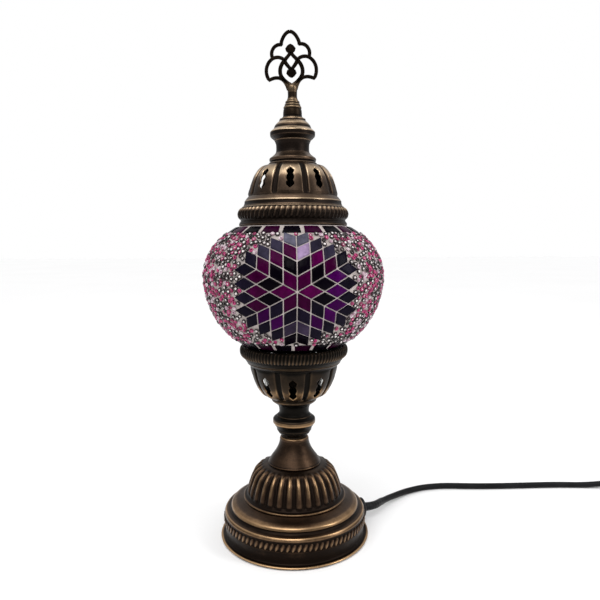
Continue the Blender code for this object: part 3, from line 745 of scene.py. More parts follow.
def petal_relief(top, bottom, groove, depth, bulge, highlight_band, dot=None):
    """Relief of a ring of petals: a crowned panel with painted highlights on its edges and a sunk channel
    beside it, darkened as patina and painted shade.

    The band argument gives the height, spread and amount of a painted highlight across each panel.
    """

    def relief(u, r, z, petal):
        gap = (petal / 2 - np.abs(u)) * r
        hold = window(z, bottom, top, 2.0)
        sunk = 1 - np.clip((gap - groove / 2) / 1.1, 0, 1)
        sunk = sunk * sunk * (3 - 2 * sunk)
        panel = np.clip((gap - groove / 2) / (petal / 2 * r - groove / 2), 0, 1)
        shift = hold * (bulge * np.sqrt(panel) - (depth + 0.2) * sunk)
        lip = np.exp(-(((gap - groove / 2 - 1.0) / 0.7) ** 2))
        painted_highlight = highlight_band[2] * np.exp(-(((z - highlight_band[0]) / highlight_band[1]) ** 2))
        # Painted highlight on the panels' edges and across the band; the channel darker as patina and painted
        # shade.
        change = hold * (0.22 * lip - 0.50 * sunk) + painted_highlight * (1 - sunk) - 0.20
        if dot:
            away = np.hypot(gap, z - dot)
            shift = shift - 0.7 * np.exp(-((away / 0.9) ** 2))
            # The dimple is darkened as painted shade.
            change = change - 0.6 * np.exp(-((away / 1.1) ** 2))
        return shift, change

    return relief


def rope_relief(count, low, high, amount, lean, reach=2.0, outer_r=35.5):
    """Slanted ridges on the round of a rim, with painted highlight on their crests and darker gaps, partly
    patina and partly painted shade.
    """

    def relief(theta, r, z):
        wave = np.cos(theta * count + lean * (z - (low + high) / 2))
        crest = np.clip(wave * 0.5 + 0.5, 0, 1) ** 0.7
        hold = window(z, low, high, reach) * (r > outer_r)
        return amount * (crest - 0.6) * 1.6 * hold, (0.62 * crest - 0.42) * hold

    return relief


def make_lower_gallery():
    pierced_shell(
        "petal_bowl",
        [(33.6, 132.2), (32.6, 131.2), (31.9, 129.6), (31.3, 127.0), (30.4, 123.2), (29.2, 119.4),
         (27.6, 115.6), (25.4, 112.0), (23.0, 109.2), (19.8, 107.4), (16.6, 106.3)],
        (109.8, 125.8, 2.8), petal_relief(129.0, 107.0, 2.5, 0.9, 0.8, (112.8, 4.6, 0.50)), FOOT, SHADED_BRASS,
        math.radians(-91.0), node="lower_gallery",
    )
    lathe(
        "bowl_floor",
        [(16.6, 107.4, 1), (16.7, 106.8), (16.5, 106.2), (15.8, 106.0, 1), (5.3, 106.0, 1),
         (5.3, 107.2, 1), (15.6, 107.6, 1)],
        # Darker all over: painted shade under the bowl.
        FOOT, SHADED_BRASS, wear_and_painted_light_add=lambda r, z: -0.36,
    )
    lathe(
        "bowl_lip",
        [(33.4, 133.5, 1), (34.5, 133.5), (34.8, 133.0), (34.1, 132.2), (33.4, 131.5, 1), (32.6, 131.1, 1),
         (32.3, 132.3)],
        # Darker all over: painted shade under the rope rim.
        FOOT, SHADED_BRASS, steps=180, wear_and_painted_light_add=lambda r, z: -0.46,
    )
    lathe(
        "rope_rim_lower",
        [(37.4, 145.7, 1), (38.2, 145.6), (39.2, 144.6), (39.7, 143.2), (39.8, 141.6), (39.4, 139.6),
         (38.4, 138.0), (37.4, 137.4, 1), (36.8, 136.5), (36.4, 135.6), (35.8, 134.8), (35.2, 133.8, 1),
         (33.6, 133.8, 1), (33.9, 135.0), (35.8, 137.8), (37.4, 140.0, 1)],
        FOOT, SHADED_BRASS, steps=LOWER_RIDGES * 10,
        relief=rope_relief(LOWER_RIDGES, 138.4, 144.0, 0.60, -0.25),
        # A painted highlight low on the rim's round, painted shade above and below it.
        wear_and_painted_light_add=lambda r, z: float(np.interp(z, (137.0, 138.4, 140.4, 142.0), (-0.40, -0.10, -0.24, -0.46))),
        node="lower_rim",
    )


def make_cap():
    pierced_shell(
        "petal_dome",
        [(18.4, 276.6), (20.6, 275.8), (23.4, 274.0), (26.0, 271.2), (28.2, 267.6), (29.8, 263.4),
         (31.0, 259.4), (31.9, 255.8), (32.3, 253.9)],
        (257.8, 272.4, 2.7), petal_relief(275.0, 256.0, 2.5, 0.9, 0.7, (270.5, 5.0, 0.58), dot=273.8),
        CAP, CAP_BRASS,
        math.radians(-93.0), node="upper_gallery",
    )
    lathe(
        "dome_top",
        [(18.6, 276.7, 1), (17.2, 277.2, 1), (2.4, 277.2, 1), (2.4, 275.9, 1), (17.4, 275.6, 1)],
        CAP, CAP_BRASS,
    )
    lathe(
        "dome_step",
        [(32.2, 254.1, 1), (32.7, 253.7), (33.6, 252.7), (34.5, 251.5), (35.1, 250.7), (35.2, 250.2, 1),
         (35.2, 249.4), (35.5, 248.3), (35.9, 247.5), (36.1, 247.2, 1), (34.6, 247.2, 1), (33.4, 250.2),
         (31.1, 253.2, 1)],
        CAP, CAP_BRASS, steps=180,
        # A painted highlight on the step's upright band and painted shade below it.
        wear_and_painted_light_add=lambda r, z: 0.10 if 250.5 < z < 252.6 else (-0.05 if z >= 252.6 else -0.30),
    )
    lathe(
        "rope_rim_upper",
        [(35.0, 246.9, 1), (36.4, 246.9), (37.0, 246.5), (37.3, 245.9, 1), (38.2, 245.2), (39.3, 243.6),
         (39.9, 241.6), (39.6, 239.8), (39.0, 238.4), (38.3, 237.4, 1), (38.0, 236.6), (38.7, 235.6),
         (39.3, 234.4), (39.2, 233.3), (38.5, 233.0, 1), (37.8, 233.4, 1), (36.9, 236.8), (37.9, 239.6),
         (38.4, 241.6), (36.8, 244.4)],
        CAP, CAP_BRASS, steps=ROPE_RIDGES * 12,
        relief=rope_relief(ROPE_RIDGES, 239.4, 244.6, 0.75, -0.38),
        # Painted highlight along the top of the rim and painted shade on its lower half.
        wear_and_painted_light_add=lambda r, z: float(np.interp(z, (239.0, 242.4, 244.6, 246.0), (-0.66, -0.54, 0.20, -0.14))),
        node="upper_rim",
    )
    lathe(
        "neck",
        [(2.4, 294.1, 1), (13.2, 294.1, 1), (12.6, 292.9), (12.0, 291.2), (11.9, 289.4), (11.9, 287.2),
         (12.2, 285.4, 1), (12.9, 284.5), (13.9, 283.5), (15.3, 282.4), (16.3, 281.7, 1), (16.8, 281.1),
         (16.9, 280.3), (16.7, 279.4), (16.2, 278.8), (16.9, 278.2), (17.5, 277.5, 1), (2.4, 277.5, 1)],
        CAP, CAP_BRASS,
        # A painted highlight band on the flare above the ring; painted shade on the neck and on the ring
        # below.
        wear_and_painted_light_add=lambda r, z: -0.36 if z > 285.6 else (0.14 if z > 281.8 else -0.40), node="crown_neck",
    )
    lathe(
        "crown_flange_cone",
        [(2.4, 309.1, 1), (8.6, 309.1), (9.3, 308.9), (9.5, 308.2), (9.7, 307.6), (10.7, 306.7),
         (11.9, 305.5), (12.8, 304.3), (13.2, 303.4, 1), (13.4, 302.7), (14.0, 301.9), (15.2, 300.9),
         (15.9, 300.3, 1), (16.2, 299.8), (16.2, 298.4), (16.1, 297.2), (15.9, 296.7, 1), (15.0, 295.8),
         (14.0, 294.9), (13.4, 294.4, 1), (2.4, 294.4, 1)],
        CAP, CAP_BRASS,
        # Painted highlight bands on the cone, painted shade under the flange and between the bands.
        wear_and_painted_light_add=lambda r, z: float(np.interp(
            z, (299.2, 300.4, 302.2, 302.9, 304.2, 305.2, 307.2, 308.2),
            (-0.60, 0.46, 0.44, -0.36, -0.24, 0.40, 0.30, -0.10))), node="crown_cone",
    )


# ---------------------------------------------------------------- globe

GLOBE_Z = 197.0
GLOBE_R = 65.5
GLOBE_UP = 46.0
GLOBE_DOWN = 62.0
STAR_Z = 190.0
STAR_R = 64.0
TILE_SIDE = 9.95
GROUT = 0.42
STAR_WIDEN = 1.045
GROUT_LEVEL = -0.85
SKIN_INSIDE = -1.28
MOTIFS = 3
FIRST_MOTIF = math.radians(-87.2)
BORDER_TILES = 20
STAR_CUT = 45.5
# Each border's heights, first tile's angle in degrees, width at the bottom and top, and share of plum; the
# lower border's low share darkens its plum tiles as painted shade.
BORDERS = (
    ((227.9, 232.7), -90.5, 1.0, 0.92, 0.65),
    ((147.4, 152.0), -99.0, 0.9752, 1.0, 0.30),
)
GROUT_HEIGHTS = (147.2, 233.5)
GROUT_ROWS = 150
GROUT_COLUMNS = 480
BEAD_HEIGHTS = (152.4, 228.2)
BEAD_GAP = 2.80
BEAD_TRIES = 70000
# A bead's middle stays this far from a tile, and the first row lies within FIRST_ROW of one.
BEAD_CLEAR = 1.1
FIRST_ROW = 1.5
# Dark beads are more frequent nearer than OPEN_ROOM to a tile.
OPEN_ROOM = 3.2
DARK_SHARE, OPEN_DARK_SHARE, PALE_FROM = 0.62, 0.43, 0.88
BEAD_SIZE, DARK_BEAD_SIZE = 3.05, 3.55
TILE_SEED, BEAD_PLACE_SEED, BEAD_KIND_SEED = 11, 5, 3
# Each kind's piece, dark and light colours, and points around and across a bead.
BEADS = {
    "dark": ("beads_dark", (0.002, 0.001, 0.001), (0.022, 0.007, 0.010), 12, 8),
    "magenta": ("beads_magenta", (0.090, 0.003, 0.026), (0.48, 0.028, 0.165), 12, 8),
    "pale": ("beads_pale", (0.34, 0.18, 0.25), (0.64, 0.54, 0.58), 12, 8),
    "core": ("bead_cores", (0.58, 0.50, 0.50), (0.88, 0.83, 0.81), 8, 6),
}


def globe_table():
    """Arc length from the star's height, radius, height and outward normal down the globe's outline."""
    t = np.radians(np.linspace(-56.0, 56.0, 1600))
    r = GLOBE_R * np.cos(t)
    half = np.where(t > 0, GLOBE_UP, GLOBE_DOWN)
    z = GLOBE_Z + half * np.sin(t)
    s = np.concatenate([[0], np.cumsum(np.hypot(np.diff(r), np.diff(z)))])
    s = s - np.interp(STAR_Z, z, s)
    nr = np.cos(t) / GLOBE_R
    nz = np.sin(t) / half
    size = np.hypot(nr, nz)
    return s, r, z, nr / size, nz / size


ARC, ARC_R, ARC_Z, ARC_NR, ARC_NZ = globe_table()


def on_globe(s, angle, height):
    """Points at arc length s and this angle, raised by height along the normal."""
    s = np.asarray(s, float)
    r = np.interp(s, ARC, ARC_R) + np.interp(s, ARC, ARC_NR) * height
    z = np.interp(s, ARC, ARC_Z) + np.interp(s, ARC, ARC_NZ) * height
    return np.stack([r * np.cos(angle), r * np.sin(angle), z], -1)


def star_to_globe(x, y, middle):
    """Plane coordinates about a star's centre, laid on the globe without stretching."""
    x, y = np.asarray(x, float) * STAR_WIDEN, np.asarray(y, float)
    far = np.hypot(x, y) / STAR_R
    bearing = np.arctan2(y, x)
    latitude = np.arcsin(np.sin(far) * np.sin(bearing))
    longitude = np.arctan2(np.sin(far) * np.cos(bearing), np.cos(far))
    s = STAR_R * latitude
    wide = np.interp(s, ARC, ARC_R)
    return s, middle + longitude * STAR_R * np.cos(latitude) / wide


def tile_sheet(corners, steps=6):
    """(a, b) grid of a four-cornered tile with its edge rows close to the edge, and each row's rise."""
    at = [0.0, 0.05, 0.14] + [0.14 + 0.72 * k / steps for k in range(1, steps)] + [0.86, 0.95, 1.0]
    edge_rise = [0.0, 0.72, 1.0] + [1.0] * (steps - 1) + [1.0, 0.72, 0.0]
    c = [np.array(p, float) for p in corners]
    places, rises = [], []
    for i, a in enumerate(at):
        for j, b in enumerate(at):
            places.append((1 - a) * ((1 - b) * c[0] + b * c[3]) + a * ((1 - b) * c[1] + b * c[2]))
            rises.append(min(edge_rise[i], edge_rise[j]))
    return np.array(places), np.array(rises), len(at)


def inset_quad(corners, by):
    """The four corners moved in by the same distance from every side."""
    c = [np.array(p, float) for p in corners]
    found = []
    for k in range(4):
        here, before, after = c[k], c[k - 1], c[(k + 1) % 4]
        a = (before - here) / np.linalg.norm(before - here)
        b = (after - here) / np.linalg.norm(after - here)
        sine = abs(a[0] * b[1] - a[1] * b[0])
        found.append(here + (a + b) * by / max(sine, 0.2))
    return found


PLUM = (0.032, 0.0015, 0.021)
MAGENTA = (0.046, 0.002, 0.030)
PURPLE = (0.031, 0.002, 0.042)
BLACK = (0.0014, 0.0006, 0.0022)
NAVY = (0.0055, 0.0040, 0.0100)
SLATE = (0.021, 0.018, 0.033)
GREY_LILAC = (0.085, 0.082, 0.112)
DIM_LILAC = (0.030, 0.021, 0.040)
LIGHT_LILAC = (0.280, 0.200, 0.325)


def star_colour(sector, row, place):
    """The tile's colour: sector 0 points right and they run anticlockwise, as place does across a row."""
    upper = sector in (1, 2)
    lower = sector in (4, 5)
    inner = place == (row - 1 if sector in (1, 4) else 0) and (upper or lower)
    if row == 1:
        return MAGENTA if sector in (0, 3) else PLUM
    if row == 2:
        return NAVY if lower else BLACK
    if row == 3:
        if inner and upper:
            return LIGHT_LILAC if sector == 1 else MAGENTA
        if inner:
            return DIM_LILAC
        if sector in (0, 4, 5):
            return PURPLE
        return MAGENTA if upper and place == 1 else PLUM
    if inner:
        return GREY_LILAC if upper else BLACK
    if upper:
        return NAVY if place == (0 if sector == 1 else row - 1) else SLATE
    return NAVY


def star_tiles():
    """(corners, colour) of every tile of one star, in its own plane."""
    found = []
    for sector in range(6):
        turn = math.radians(60 * sector)
        a = TILE_SIDE * np.array([math.cos(turn - math.pi / 6), math.sin(turn - math.pi / 6)])
        b = TILE_SIDE * np.array([math.cos(turn + math.pi / 6), math.sin(turn + math.pi / 6)])
        for row in range(1, 5):
            for place in range(row):
                j, i = place, row - 1 - place
                start = a * i + b * j
                found.append(([start, start + a, start + a + b, start + b], star_colour(sector, row, place)))
    return found


class TileSet:
    """Collects curved tiles into one mesh with a colour for each."""

    def __init__(self, seed):
        self.points, self.faces, self.colours = [], [], []
        self.count = 0
        self.rng = random.Random(seed)

    def add(self, corners, colour, to_surface, thick=0.75):
        places, rises, n = tile_sheet(corners)
        tilt = [self.rng.uniform(-0.12, 0.12) for _ in range(2)]
        middle = places.mean(0)
        lean = ((places - middle) * tilt).sum(1) * 0.12
        s, angle = to_surface(places[:, 0], places[:, 1])
        height = np.where(rises > 0, GROUT_LEVEL + 0.1 + thick * rises + lean, GROUT_LEVEL - 0.3)
        self.points.append(on_globe(s, angle, height))
        self.faces += shifted(grid_faces(n, n, wrap_columns=False), self.count)
        vary = self.rng.uniform(0.75, 1.3)
        self.colours.append(np.tile([*(min(1, c * vary) for c in colour), 1.0], (n * n, 1)))
        self.count += n * n

    def build(self, name, look):
        mesh = mesh_from(name, np.vstack(self.points), self.faces)
        layer = mesh.color_attributes.new("tint", "FLOAT_COLOR", "POINT")
        layer.data.foreach_set("color", np.vstack(self.colours).astype(np.float32).ravel())
        return new_object(name, mesh, GLOBE, look)


def tile_look():
    """Cut sheet glass: wavy, streaked and mottled."""
    n = Nodes("tile_glass")
    tint = n.add("ShaderNodeAttribute", attribute_name="tint").outputs["Color"]
    streak = n.noise(160.0, 4.0, 0.6, (1.0, 1.0, 0.35))
    cloud = n.noise(520.0, 4.0, 0.65)
    lift = n.add("ShaderNodeHueSaturation")
    lift.inputs["Saturation"].default_value = 1.05
    n.link(tint, lift.inputs["Color"])
    mottle = n.math("ADD", n.math("MULTIPLY", streak, 0.65), n.math("MULTIPLY", cloud, 0.35))
    n.link(n.spread(mottle, -0.2, 2.2), lift.inputs["Value"])
    n.link(lift.outputs["Color"], n.shader.inputs["Base Color"])
    n.rough(cloud, 0.10, 0.24)
    n.set(IOR=1.45, Specular_IOR_Level=0.03)
    n.bump(n.math("ADD", n.math("MULTIPLY", streak, 0.8), cloud), 0.25, 0.0006)
    return n.look


def grout_look():
    n = Nodes("grout")
    cloud = n.noise(140.0, 5.0, 0.6)
    grain = n.noise(2200.0, 5.0, 0.7)
    both = n.math("ADD", n.math("MULTIPLY", cloud, 0.6), n.math("MULTIPLY", grain, 0.4))
    n.colour(both, (0.3, (0.22, 0.19, 0.18)), (0.5, (0.43, 0.375, 0.355)), (0.75, (0.66, 0.60, 0.58)))
    n.set(Roughness=0.75)
    n.bump(n.math("ADD", cloud, n.math("MULTIPLY", grain, 0.5)), 0.5, 0.0006)
    return n.look


def bead_look(name, dark, light):
    n = Nodes(name)
    cell = n.noise(420.0, 2.0, 0.5)
    fine = n.noise(1500.0, 3.0, 0.6)
    n.colour(cell, (0.36, dark), (0.62, light))
    n.rough(fine, 0.08, 0.24)
    n.set(IOR=1.5)
    n.bump(fine, 0.12, 0.0003)
    return n.look


def quad_distance(place, quads):
    """Distance from each point to the nearest tile's outline, negative inside it."""
    least = np.full(len(place), 99.0)
    for corners in quads:
        middle = corners.mean(0)
        near = np.linalg.norm(place - middle, axis=1) < 16
        if not near.any():
            continue
        normal = middle - (0.0, 0.0, GLOBE_Z)
        p = place[near]
        far = np.full(len(p), 99.0)
        inside = np.ones(len(p), bool)
        for start, end in zip(corners, np.roll(corners, -1, 0)):
            edge = end - start
            share = np.clip((p - start) @ edge / (edge @ edge), 0, 1)
            far = np.minimum(far, np.linalg.norm(p - start - share[:, None] * edge, axis=1))
            out = np.cross(edge, normal)
            out *= np.sign(out @ (start - middle))
            inside &= (p - start) @ out < 0
        least[near] = np.minimum(least[near], np.where(inside, -far, far))
    return least


def scatter_beads(quads, low, high):
    """Bead places between the tiles, first along the tiles' edges and then over the rest."""
    rng = np.random.default_rng(BEAD_PLACE_SEED)
    s_grid = np.linspace(low, high, 400)
    weight = np.interp(s_grid, ARC, ARC_R)
    s = rng.choice(s_grid, BEAD_TRIES, p=weight / weight.sum())
    angle = rng.uniform(0, math.tau, len(s))
    place = on_globe(s, angle, 0.0)
    clear = quad_distance(place, quads)
    order = np.argsort(np.where((clear > BEAD_CLEAR) & (clear < FIRST_ROW), 0, 1), kind="stable")
    taken, kept = {}, []
    for k in order:
        if clear[k] < BEAD_CLEAR:
            continue
        cell = tuple(np.floor(place[k] / BEAD_GAP).astype(int))
        near = [other for step in itertools.product((-1, 0, 1), repeat=3)
                for other in taken.get(tuple(c + d for c, d in zip(cell, step)), ())]
        if all(math.dist(place[k], other) >= BEAD_GAP for other in near):
            taken.setdefault(cell, []).append(tuple(place[k]))
            kept.append(k)
    return s[kept], angle[kept], clear[kept]


def bead_mesh(name, places, look, around, across):
    """Seed beads: small rings that lie on the globe. places are (s, angle, size, hole, tilt, lift)."""
    points, faces = [], []
    count = 0
    ring_faces = grid_faces(across, around, wrap_rows=True)
    a = np.arange(around) * math.tau / around
    b = np.arange(across) * math.tau / across
    for s, angle, size, hole, tilt, lift in places:
        tube = size * (0.5 - hole * 0.25) * 0.5
        major = size * 0.5 - tube
        ring = np.stack([
            np.outer(major + tube * np.cos(b), np.cos(a)),
            np.outer(major + tube * np.cos(b), np.sin(a)),
            np.outer(tube * 1.35 * np.sin(b), np.ones(around)),
        ], -1).reshape(-1, 3)
        centre = on_globe(s, angle, lift)
        up = np.array([
            np.interp(s, ARC, ARC_NR) * math.cos(angle),
            np.interp(s, ARC, ARC_NR) * math.sin(angle),
            np.interp(s, ARC, ARC_NZ),
        ])
        east = np.array([-math.sin(angle), math.cos(angle), 0.0])
        north = np.cross(up, east)
        up = up + east * tilt[0] + north * tilt[1]
        up /= np.linalg.norm(up)
        east = east - up * np.dot(east, up)
        east /= np.linalg.norm(east)
        north = np.cross(up, east)
        points.append(centre + ring @ np.stack([east, north, up]))
        faces += shifted(ring_faces, count, flip=True)
        count += around * across
    new_object(name, mesh_from(name, np.vstack(points), faces), GLOBE, look)


def arc_at(heights):
    return np.interp(heights, ARC_Z, ARC)


def add_star_tiles(tiles):
    """The stars' tiles; it returns the outlines that the beads keep off."""
    quads = []
    for motif in range(MOTIFS):
        middle = FIRST_MOTIF + motif * math.tau / MOTIFS
        for corners, colour in star_tiles():
            if max(abs(p[1]) for p in corners) > STAR_CUT:
                continue
            tiles.add(inset_quad(corners, GROUT / 2), colour, lambda x, y, m=middle: star_to_globe(x, y, m))
            s, angle = star_to_globe([p[0] for p in corners], [p[1] for p in corners], middle)
            quads.append(on_globe(s, angle, 0.0))
    return quads


def add_border_tiles(tiles):
    """The tiles of both borders; it returns the outlines that the beads keep off."""
    quads = []
    half = math.pi / BORDER_TILES * 0.88
    for heights, first, bottom, top, share in BORDERS:
        low, high = arc_at(heights)
        for k in range(BORDER_TILES):
            middle = math.radians(first) + k * math.tau / BORDER_TILES
            corners = [(middle - half * bottom, low), (middle + half * bottom, low),
                       (middle + half * top, high), (middle - half * top, high)]
            colour = BLACK if k % 2 == 0 else tuple(share * c for c in PLUM)
            tiles.add(corners, colour, lambda a, s: (s, a), 0.6)
            wide = middle + half * 1.12 * np.array([-1, 1, 1, -1])
            quads.append(on_globe([low - 0.5, low - 0.5, high + 0.5, high + 0.5], wide, 0.0))
    return quads


def make_globe():
    tiles = TileSet(TILE_SEED)
    quads = add_star_tiles(tiles) + add_border_tiles(tiles)
    tiles.build("mosaic_tiles", tile_look())

    s = np.repeat(np.linspace(*arc_at(GROUT_HEIGHTS), GROUT_ROWS), GROUT_COLUMNS)
    angle = np.tile(np.arange(GROUT_COLUMNS) * math.tau / GROUT_COLUMNS, GROUT_ROWS)
    skins = np.vstack([on_globe(s, angle, GROUT_LEVEL), on_globe(s[::-1], angle, SKIN_INSIDE)])
    mesh = mesh_from("grout", skins, grid_faces(GROUT_ROWS * 2, GROUT_COLUMNS, wrap_rows=True))
    mesh.flip_normals()
    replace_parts(new_object("grout", mesh, GLOBE, grout_look()), "mosaic_skin")

    rng = random.Random(BEAD_KIND_SEED)
    kinds = {kind: [] for kind in BEADS}
    for at, turn, room in zip(*scatter_beads(quads, *arc_at(BEAD_HEIGHTS))):
        pick = rng.random()
        dark = pick < (DARK_SHARE if room < OPEN_ROOM else OPEN_DARK_SHARE)
        kind = "dark" if dark else ("magenta" if pick < PALE_FROM else "pale")
        size = (DARK_BEAD_SIZE if dark else BEAD_SIZE) * rng.uniform(0.84, 1.06)
        hole = rng.uniform(0.80, 1.10) if dark else rng.uniform(0.40, 0.85)
        tilt = (rng.gauss(0, 0.12), rng.gauss(0, 0.12))
        lift = rng.uniform(-0.30, 0.10)
        kinds[kind].append((at, turn, size, hole, tilt, lift))
        if rng.random() < (0.85 if dark else 0.5):
            kinds["core"].append((at, turn, size * hole * 0.5, 0.0, tilt, lift + 0.10))
    for kind, (name, low, high, around, across) in BEADS.items():
        bead_mesh(name, kinds[kind], bead_look("bead_" + kind, low, high), around, across)


# ---------------------------------------------------------------- finial


FINIAL_LEAN = math.radians(-2.2)


# Bars of the right half as (x, z, thickness); each has a twin on the left.
HEAD_BARS = (
    [(0.0, 369.9, 1.0), (1.9, 369.2, 1.0), (4.0, 367.2, 1.0), (5.7, 364.2, 1.0), (6.4, 361.6, 1.0),
     (5.9, 360.5, 0.8)],
    [(5.9, 361.0, 0.9), (8.8, 361.0, 1.0), (11.6, 359.4, 1.0), (13.3, 356.4, 1.0), (13.4, 353.6, 1.0),
     (12.9, 351.9, 0.9)],
    [(4.2, 349.9, 1.0), (6.6, 351.8, 1.0), (9.6, 352.5, 1.0), (12.8, 351.8, 1.0), (15.8, 349.2, 1.0),
     (17.5, 345.6, 1.0), (17.8, 342.0, 1.0), (17.0, 338.8, 1.0), (15.9, 337.0, 0.9)],
    [(16.6, 336.6, 0.8), (14.2, 337.8, 1.0), (11.2, 338.4, 1.0), (8.0, 337.9, 1.0), (5.2, 335.9, 1.1),
     (3.2, 332.9, 1.3), (2.2, 329.9, 1.3)],
    [(4.6, 350.0, 1.1), (6.6, 347.6, 1.1), (7.9, 344.2, 1.1), (7.8, 340.6, 1.1), (6.2, 337.6, 1.1),
     (3.6, 335.0, 1.1), (1.2, 333.2, 1.2), (0.0, 332.6, 1.2)],
    [(0.0, 355.4, 1.1), (1.8, 353.2, 1.0), (4.3, 350.2, 1.1), (3.4, 347.8, 1.1), (1.2, 345.0, 1.0),
     (0.0, 343.8, 1.1)],
)
# A bud's side leaf, and its middle as (z, thickness).
LEAF = ((0.0, 0.0, 0.4), (1.2, 1.4, 1.0), (2.6, 3.1, 1.1), (2.2, 4.4, 1.0), (0.6, 5.6, 1.1))
BUD = ((0.8, 0.6), (2.2, 1.6), (3.9, 1.9), (6.2, 1.4))
BUDS = ((361.2, -1), (338.2, 1))
BAR_R = 1.3
HEAD_HALF_THICK = 1.1
LEAN_ABOUT = Vector((0.0, 0.0, 326.0 * MM))


def strand(data, points, radius):
    """A bar of the finial along these points of its plane."""
    add_line(data, [(x, 0.0, z) for x, z, _ in points], [radius * w for _, _, w in points])


def make_finial():
    data = tube("finial_openwork", 1.0, 4, FINIAL_METAL)
    for bar in HEAD_BARS:
        line = [tuple(p) for p in smooth_line(bar, 6)]
        strand(data, line, BAR_R)
        strand(data, [(-x, z, w) for x, z, w in line], BAR_R)
    for top, sign in BUDS:
        for side in (-1, 1):
            strand(data, [(side * x, top + sign * z, w) for x, z, w in LEAF], 1.1)
        strand(data, [(0.0, top + sign * z, w) for z, w in BUD], 1.1)
    made = placed("finial_openwork", data)
    graph = bpy.context.evaluated_depsgraph_get()
    mesh = bpy.data.meshes.new_from_object(made.evaluated_get(graph))
    bpy.data.objects.remove(made, do_unlink=True)
    wear_and_painted_light = []
    lean = Matrix.Rotation(FINIAL_LEAN, 3, "Y")
    for vertex in mesh.vertices:
        # Painted highlight on the bars low in the head, near the stem.
        wear_and_painted_light.append(0.16 + 0.5 * window(vertex.co.z / MM, 320.0, 333.5, 3.0))
        vertex.co.y = max(-HEAD_HALF_THICK * MM, min(HEAD_HALF_THICK * MM, vertex.co.y))
        vertex.co = LEAN_ABOUT + lean @ (vertex.co - LEAN_ABOUT)
    layer = mesh.attributes.new("wear_and_painted_light", "FLOAT", "POINT")
    layer.data.foreach_set("value", np.array(wear_and_painted_light, np.float32))
    mesh.materials.clear()
    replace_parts(new_object("finial_openwork", mesh, FINIAL, FINIAL_METAL), "finial")
    lathe(
        "finial_stem",
        [(0.6, 333.4, 1), (2.0, 333.2), (3.2, 332.2), (3.5, 330.6), (3.4, 329.0), (3.3, 326.8),
         (3.3, 325.0), (3.5, 323.8), (3.9, 322.8), (4.0, 322.0, 1), (2.4, 322.0, 1), (2.4, 325.6, 1),
         (0.6, 326.2, 1)],
        # Painted highlights on the stem's upper and lower ends.
        FINIAL, FINIAL_METAL, steps=96, wear_and_painted_light_add=lambda r, z: 0.30 if z > 327.6 or z < 324.2 else 0.0,
    )
    lathe(
        "collar",
        [(2.4, 321.7, 1), (4.5, 321.7), (5.0, 321.3), (5.1, 320.6), (4.9, 320.2, 1), (5.4, 319.6),
         (5.7, 318.9), (5.5, 318.3, 1), (6.2, 317.8), (6.5, 317.0), (6.2, 316.4, 1), (6.5, 315.4),
         (6.7, 313.8), (6.8, 311.8), (6.9, 310.8), (7.4, 310.2), (8.0, 309.3, 1), (2.4, 309.3, 1)],
        # A painted highlight on the collar's upper rings.
        FINIAL, FINIAL_METAL, steps=120, wear_and_painted_light_add=lambda r, z: 0.24 if z > 316.2 else -0.04,
        node="finial_collar",
    )


# ---------------------------------------------------------------- cord fittings


def sleeve(name, points, start_r, end_r, rings, node):
    """A tapered bend guard with rounded rings along it, which stands for the CAD's node."""
    line = smooth_line(points, max(6, rings * 8 // (len(points) - 1)))
    scales = []
    for share in np.arange(len(line)) / (len(line) - 1):
        groove = 0.14 * max(0.0, math.cos(share * rings * math.tau)) ** 3 * (0.06 < share < 0.94)
        scales.append(start_r + (end_r - start_r) * share - groove)
    data = tube(name, 1.0, 5, BLACK_PLASTIC)
    add_line(data, line, scales)
    made = placed(name, data)
    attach(made, FOOT)
    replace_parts(made, node)


def make_cord_fittings():
    sleeve("bend_guard", smooth_line(ROUTE[:5], 6)[:20], 3.4, 2.85, 7, "strain_relief")
    plug_end = [(299.4, -32.0, 7.1), (311.0, -32.0, 7.2), (321.6, -31.4, 7.9)]
    sleeve("plug_guard", plug_end, 3.8, 2.9, 6, "plug_relief")
    gland = lathe(
        "gland_flange",
        [(2.9, 58.1, 1), (4.0, 58.1), (4.6, 57.5), (5.6, 57.0), (6.9, 56.6), (7.5, 55.9), (7.5, 54.8),
         (7.1, 54.1, 1), (4.1, 54.0, 1), (4.1, 47.7, 1), (2.9, 47.7, 1)],
        FOOT, BLACK_PLASTIC, steps=96, samples=4,
    )
    outward = Matrix.Rotation(GLAND_ANGLE, 4, "Z") @ Matrix.Translation((0.0, 0.0, GLAND_EXIT[2] * MM))
    gland.data.transform(outward @ Matrix.Rotation(math.radians(90), 4, "Y"))
    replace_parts(gland, "cord_gland")


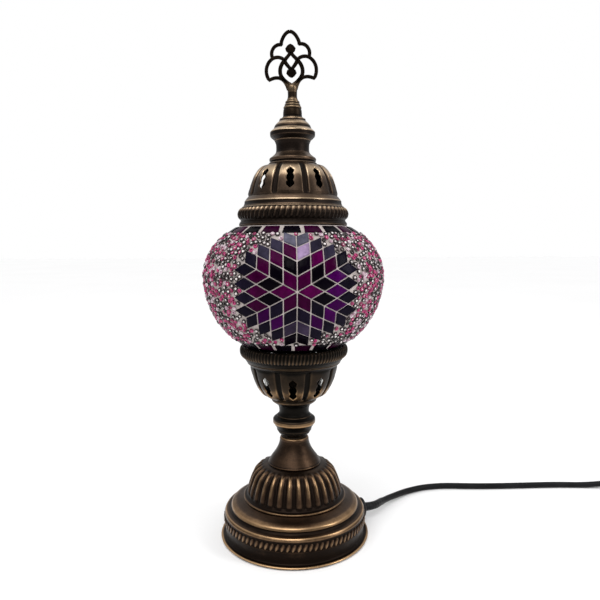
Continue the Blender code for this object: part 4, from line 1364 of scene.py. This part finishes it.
def rounded_copy(node, body, radius):
    """The CAD node's own shape with every sharp edge rounded, as a moulding has."""
    source = bpy.data.objects[node]
    mesh = source.data.copy()
    mesh.transform(source.matrix_world)
    mesh.materials.clear()
    with edited(mesh) as shape:
        bmesh.ops.dissolve_limit(shape, angle_limit=FLAT_EDGE, verts=shape.verts, edges=shape.edges)
        sharp = [e for e in shape.edges if len(e.link_faces) == 2 and e.calc_face_angle(0.0) > SHARP_EDGE]
        bmesh.ops.bevel(shape, geom=sharp, offset=radius * MM, segments=3, profile=0.5, affect="EDGES",
                        clamp_overlap=True)
    made = new_object("moulded_" + node, mesh, body, BLACK_PLASTIC)
    made.modifiers.new("Even normals", "WEIGHTED_NORMAL")
    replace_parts(made, node)


# Each moulding's body and the radius of its edges.
MOULDINGS = {
    "switch_base": (FOOT, 0.7),
    "switch_cover": (FOOT, 0.9),
    "plug_body": (FOOT, 1.0),
    "switch_rocker": (ROCKER, 0.5),
}
SHARP_EDGE = math.radians(35)
FLAT_EDGE = math.radians(1)


def make_mouldings():
    for node, (body, radius) in MOULDINGS.items():
        rounded_copy(node, body, radius)


def dress_nodes():
    """Materials for the CAD pieces that keep their own shape."""
    looks = {
        STEEL: ["foot_washer", "foot_nut", "harp", "bottom_plate"],
        BLACK_STEEL: ["lamp_tube", "gallery_nut", "harp_saddle", "harp_stud", "globe_seat_lower",
                      "globe_seat_upper"],
        SHELL_BRASS: ["holder_screw_shell", "holder_contact", "bulb_cap", "plug_pin_front", "plug_pin_back"],
        BAKELITE: ["holder_cap", "holder_body", "bulb_contact"],
        RUBBER: ["globe_gasket_lower", "globe_gasket_upper"],
        BLACK_PLASTIC: ["gland_nut", "cord_tie"],
        CORD_PVC: ["inner_lead"],
        GLASS: ["globe_glass"],
        BULB_GLASS: ["bulb_envelope", "filament_stem"],
        FELT: ["felt_pad"],
    }
    for look, names in looks.items():
        for name in names:
            mesh = bpy.data.objects[name].data
            mesh.materials.clear()
            mesh.materials.append(look)


def add_floor():
    n = Nodes("pale_floor")
    cloud = n.noise(2.0, 2.0, 0.5)
    n.colour(cloud, (0.3, (0.93, 0.93, 0.93)), (0.7, (0.95, 0.95, 0.95)))
    n.set(Roughness=0.9)
    mesh = bpy.data.meshes.new("floor")
    mesh.from_pydata([(-6, -4, 0), (6, -4, 0), (6, 8, 0), (-6, 8, 0)], [], [(0, 1, 2, 3)])
    new_object("floor", mesh, None, n.look)


make_foot()
make_stem()
make_lower_gallery()
make_cap()
make_globe()
make_finial()
make_cord_fittings()
make_mouldings()
dress_nodes()
add_floor()
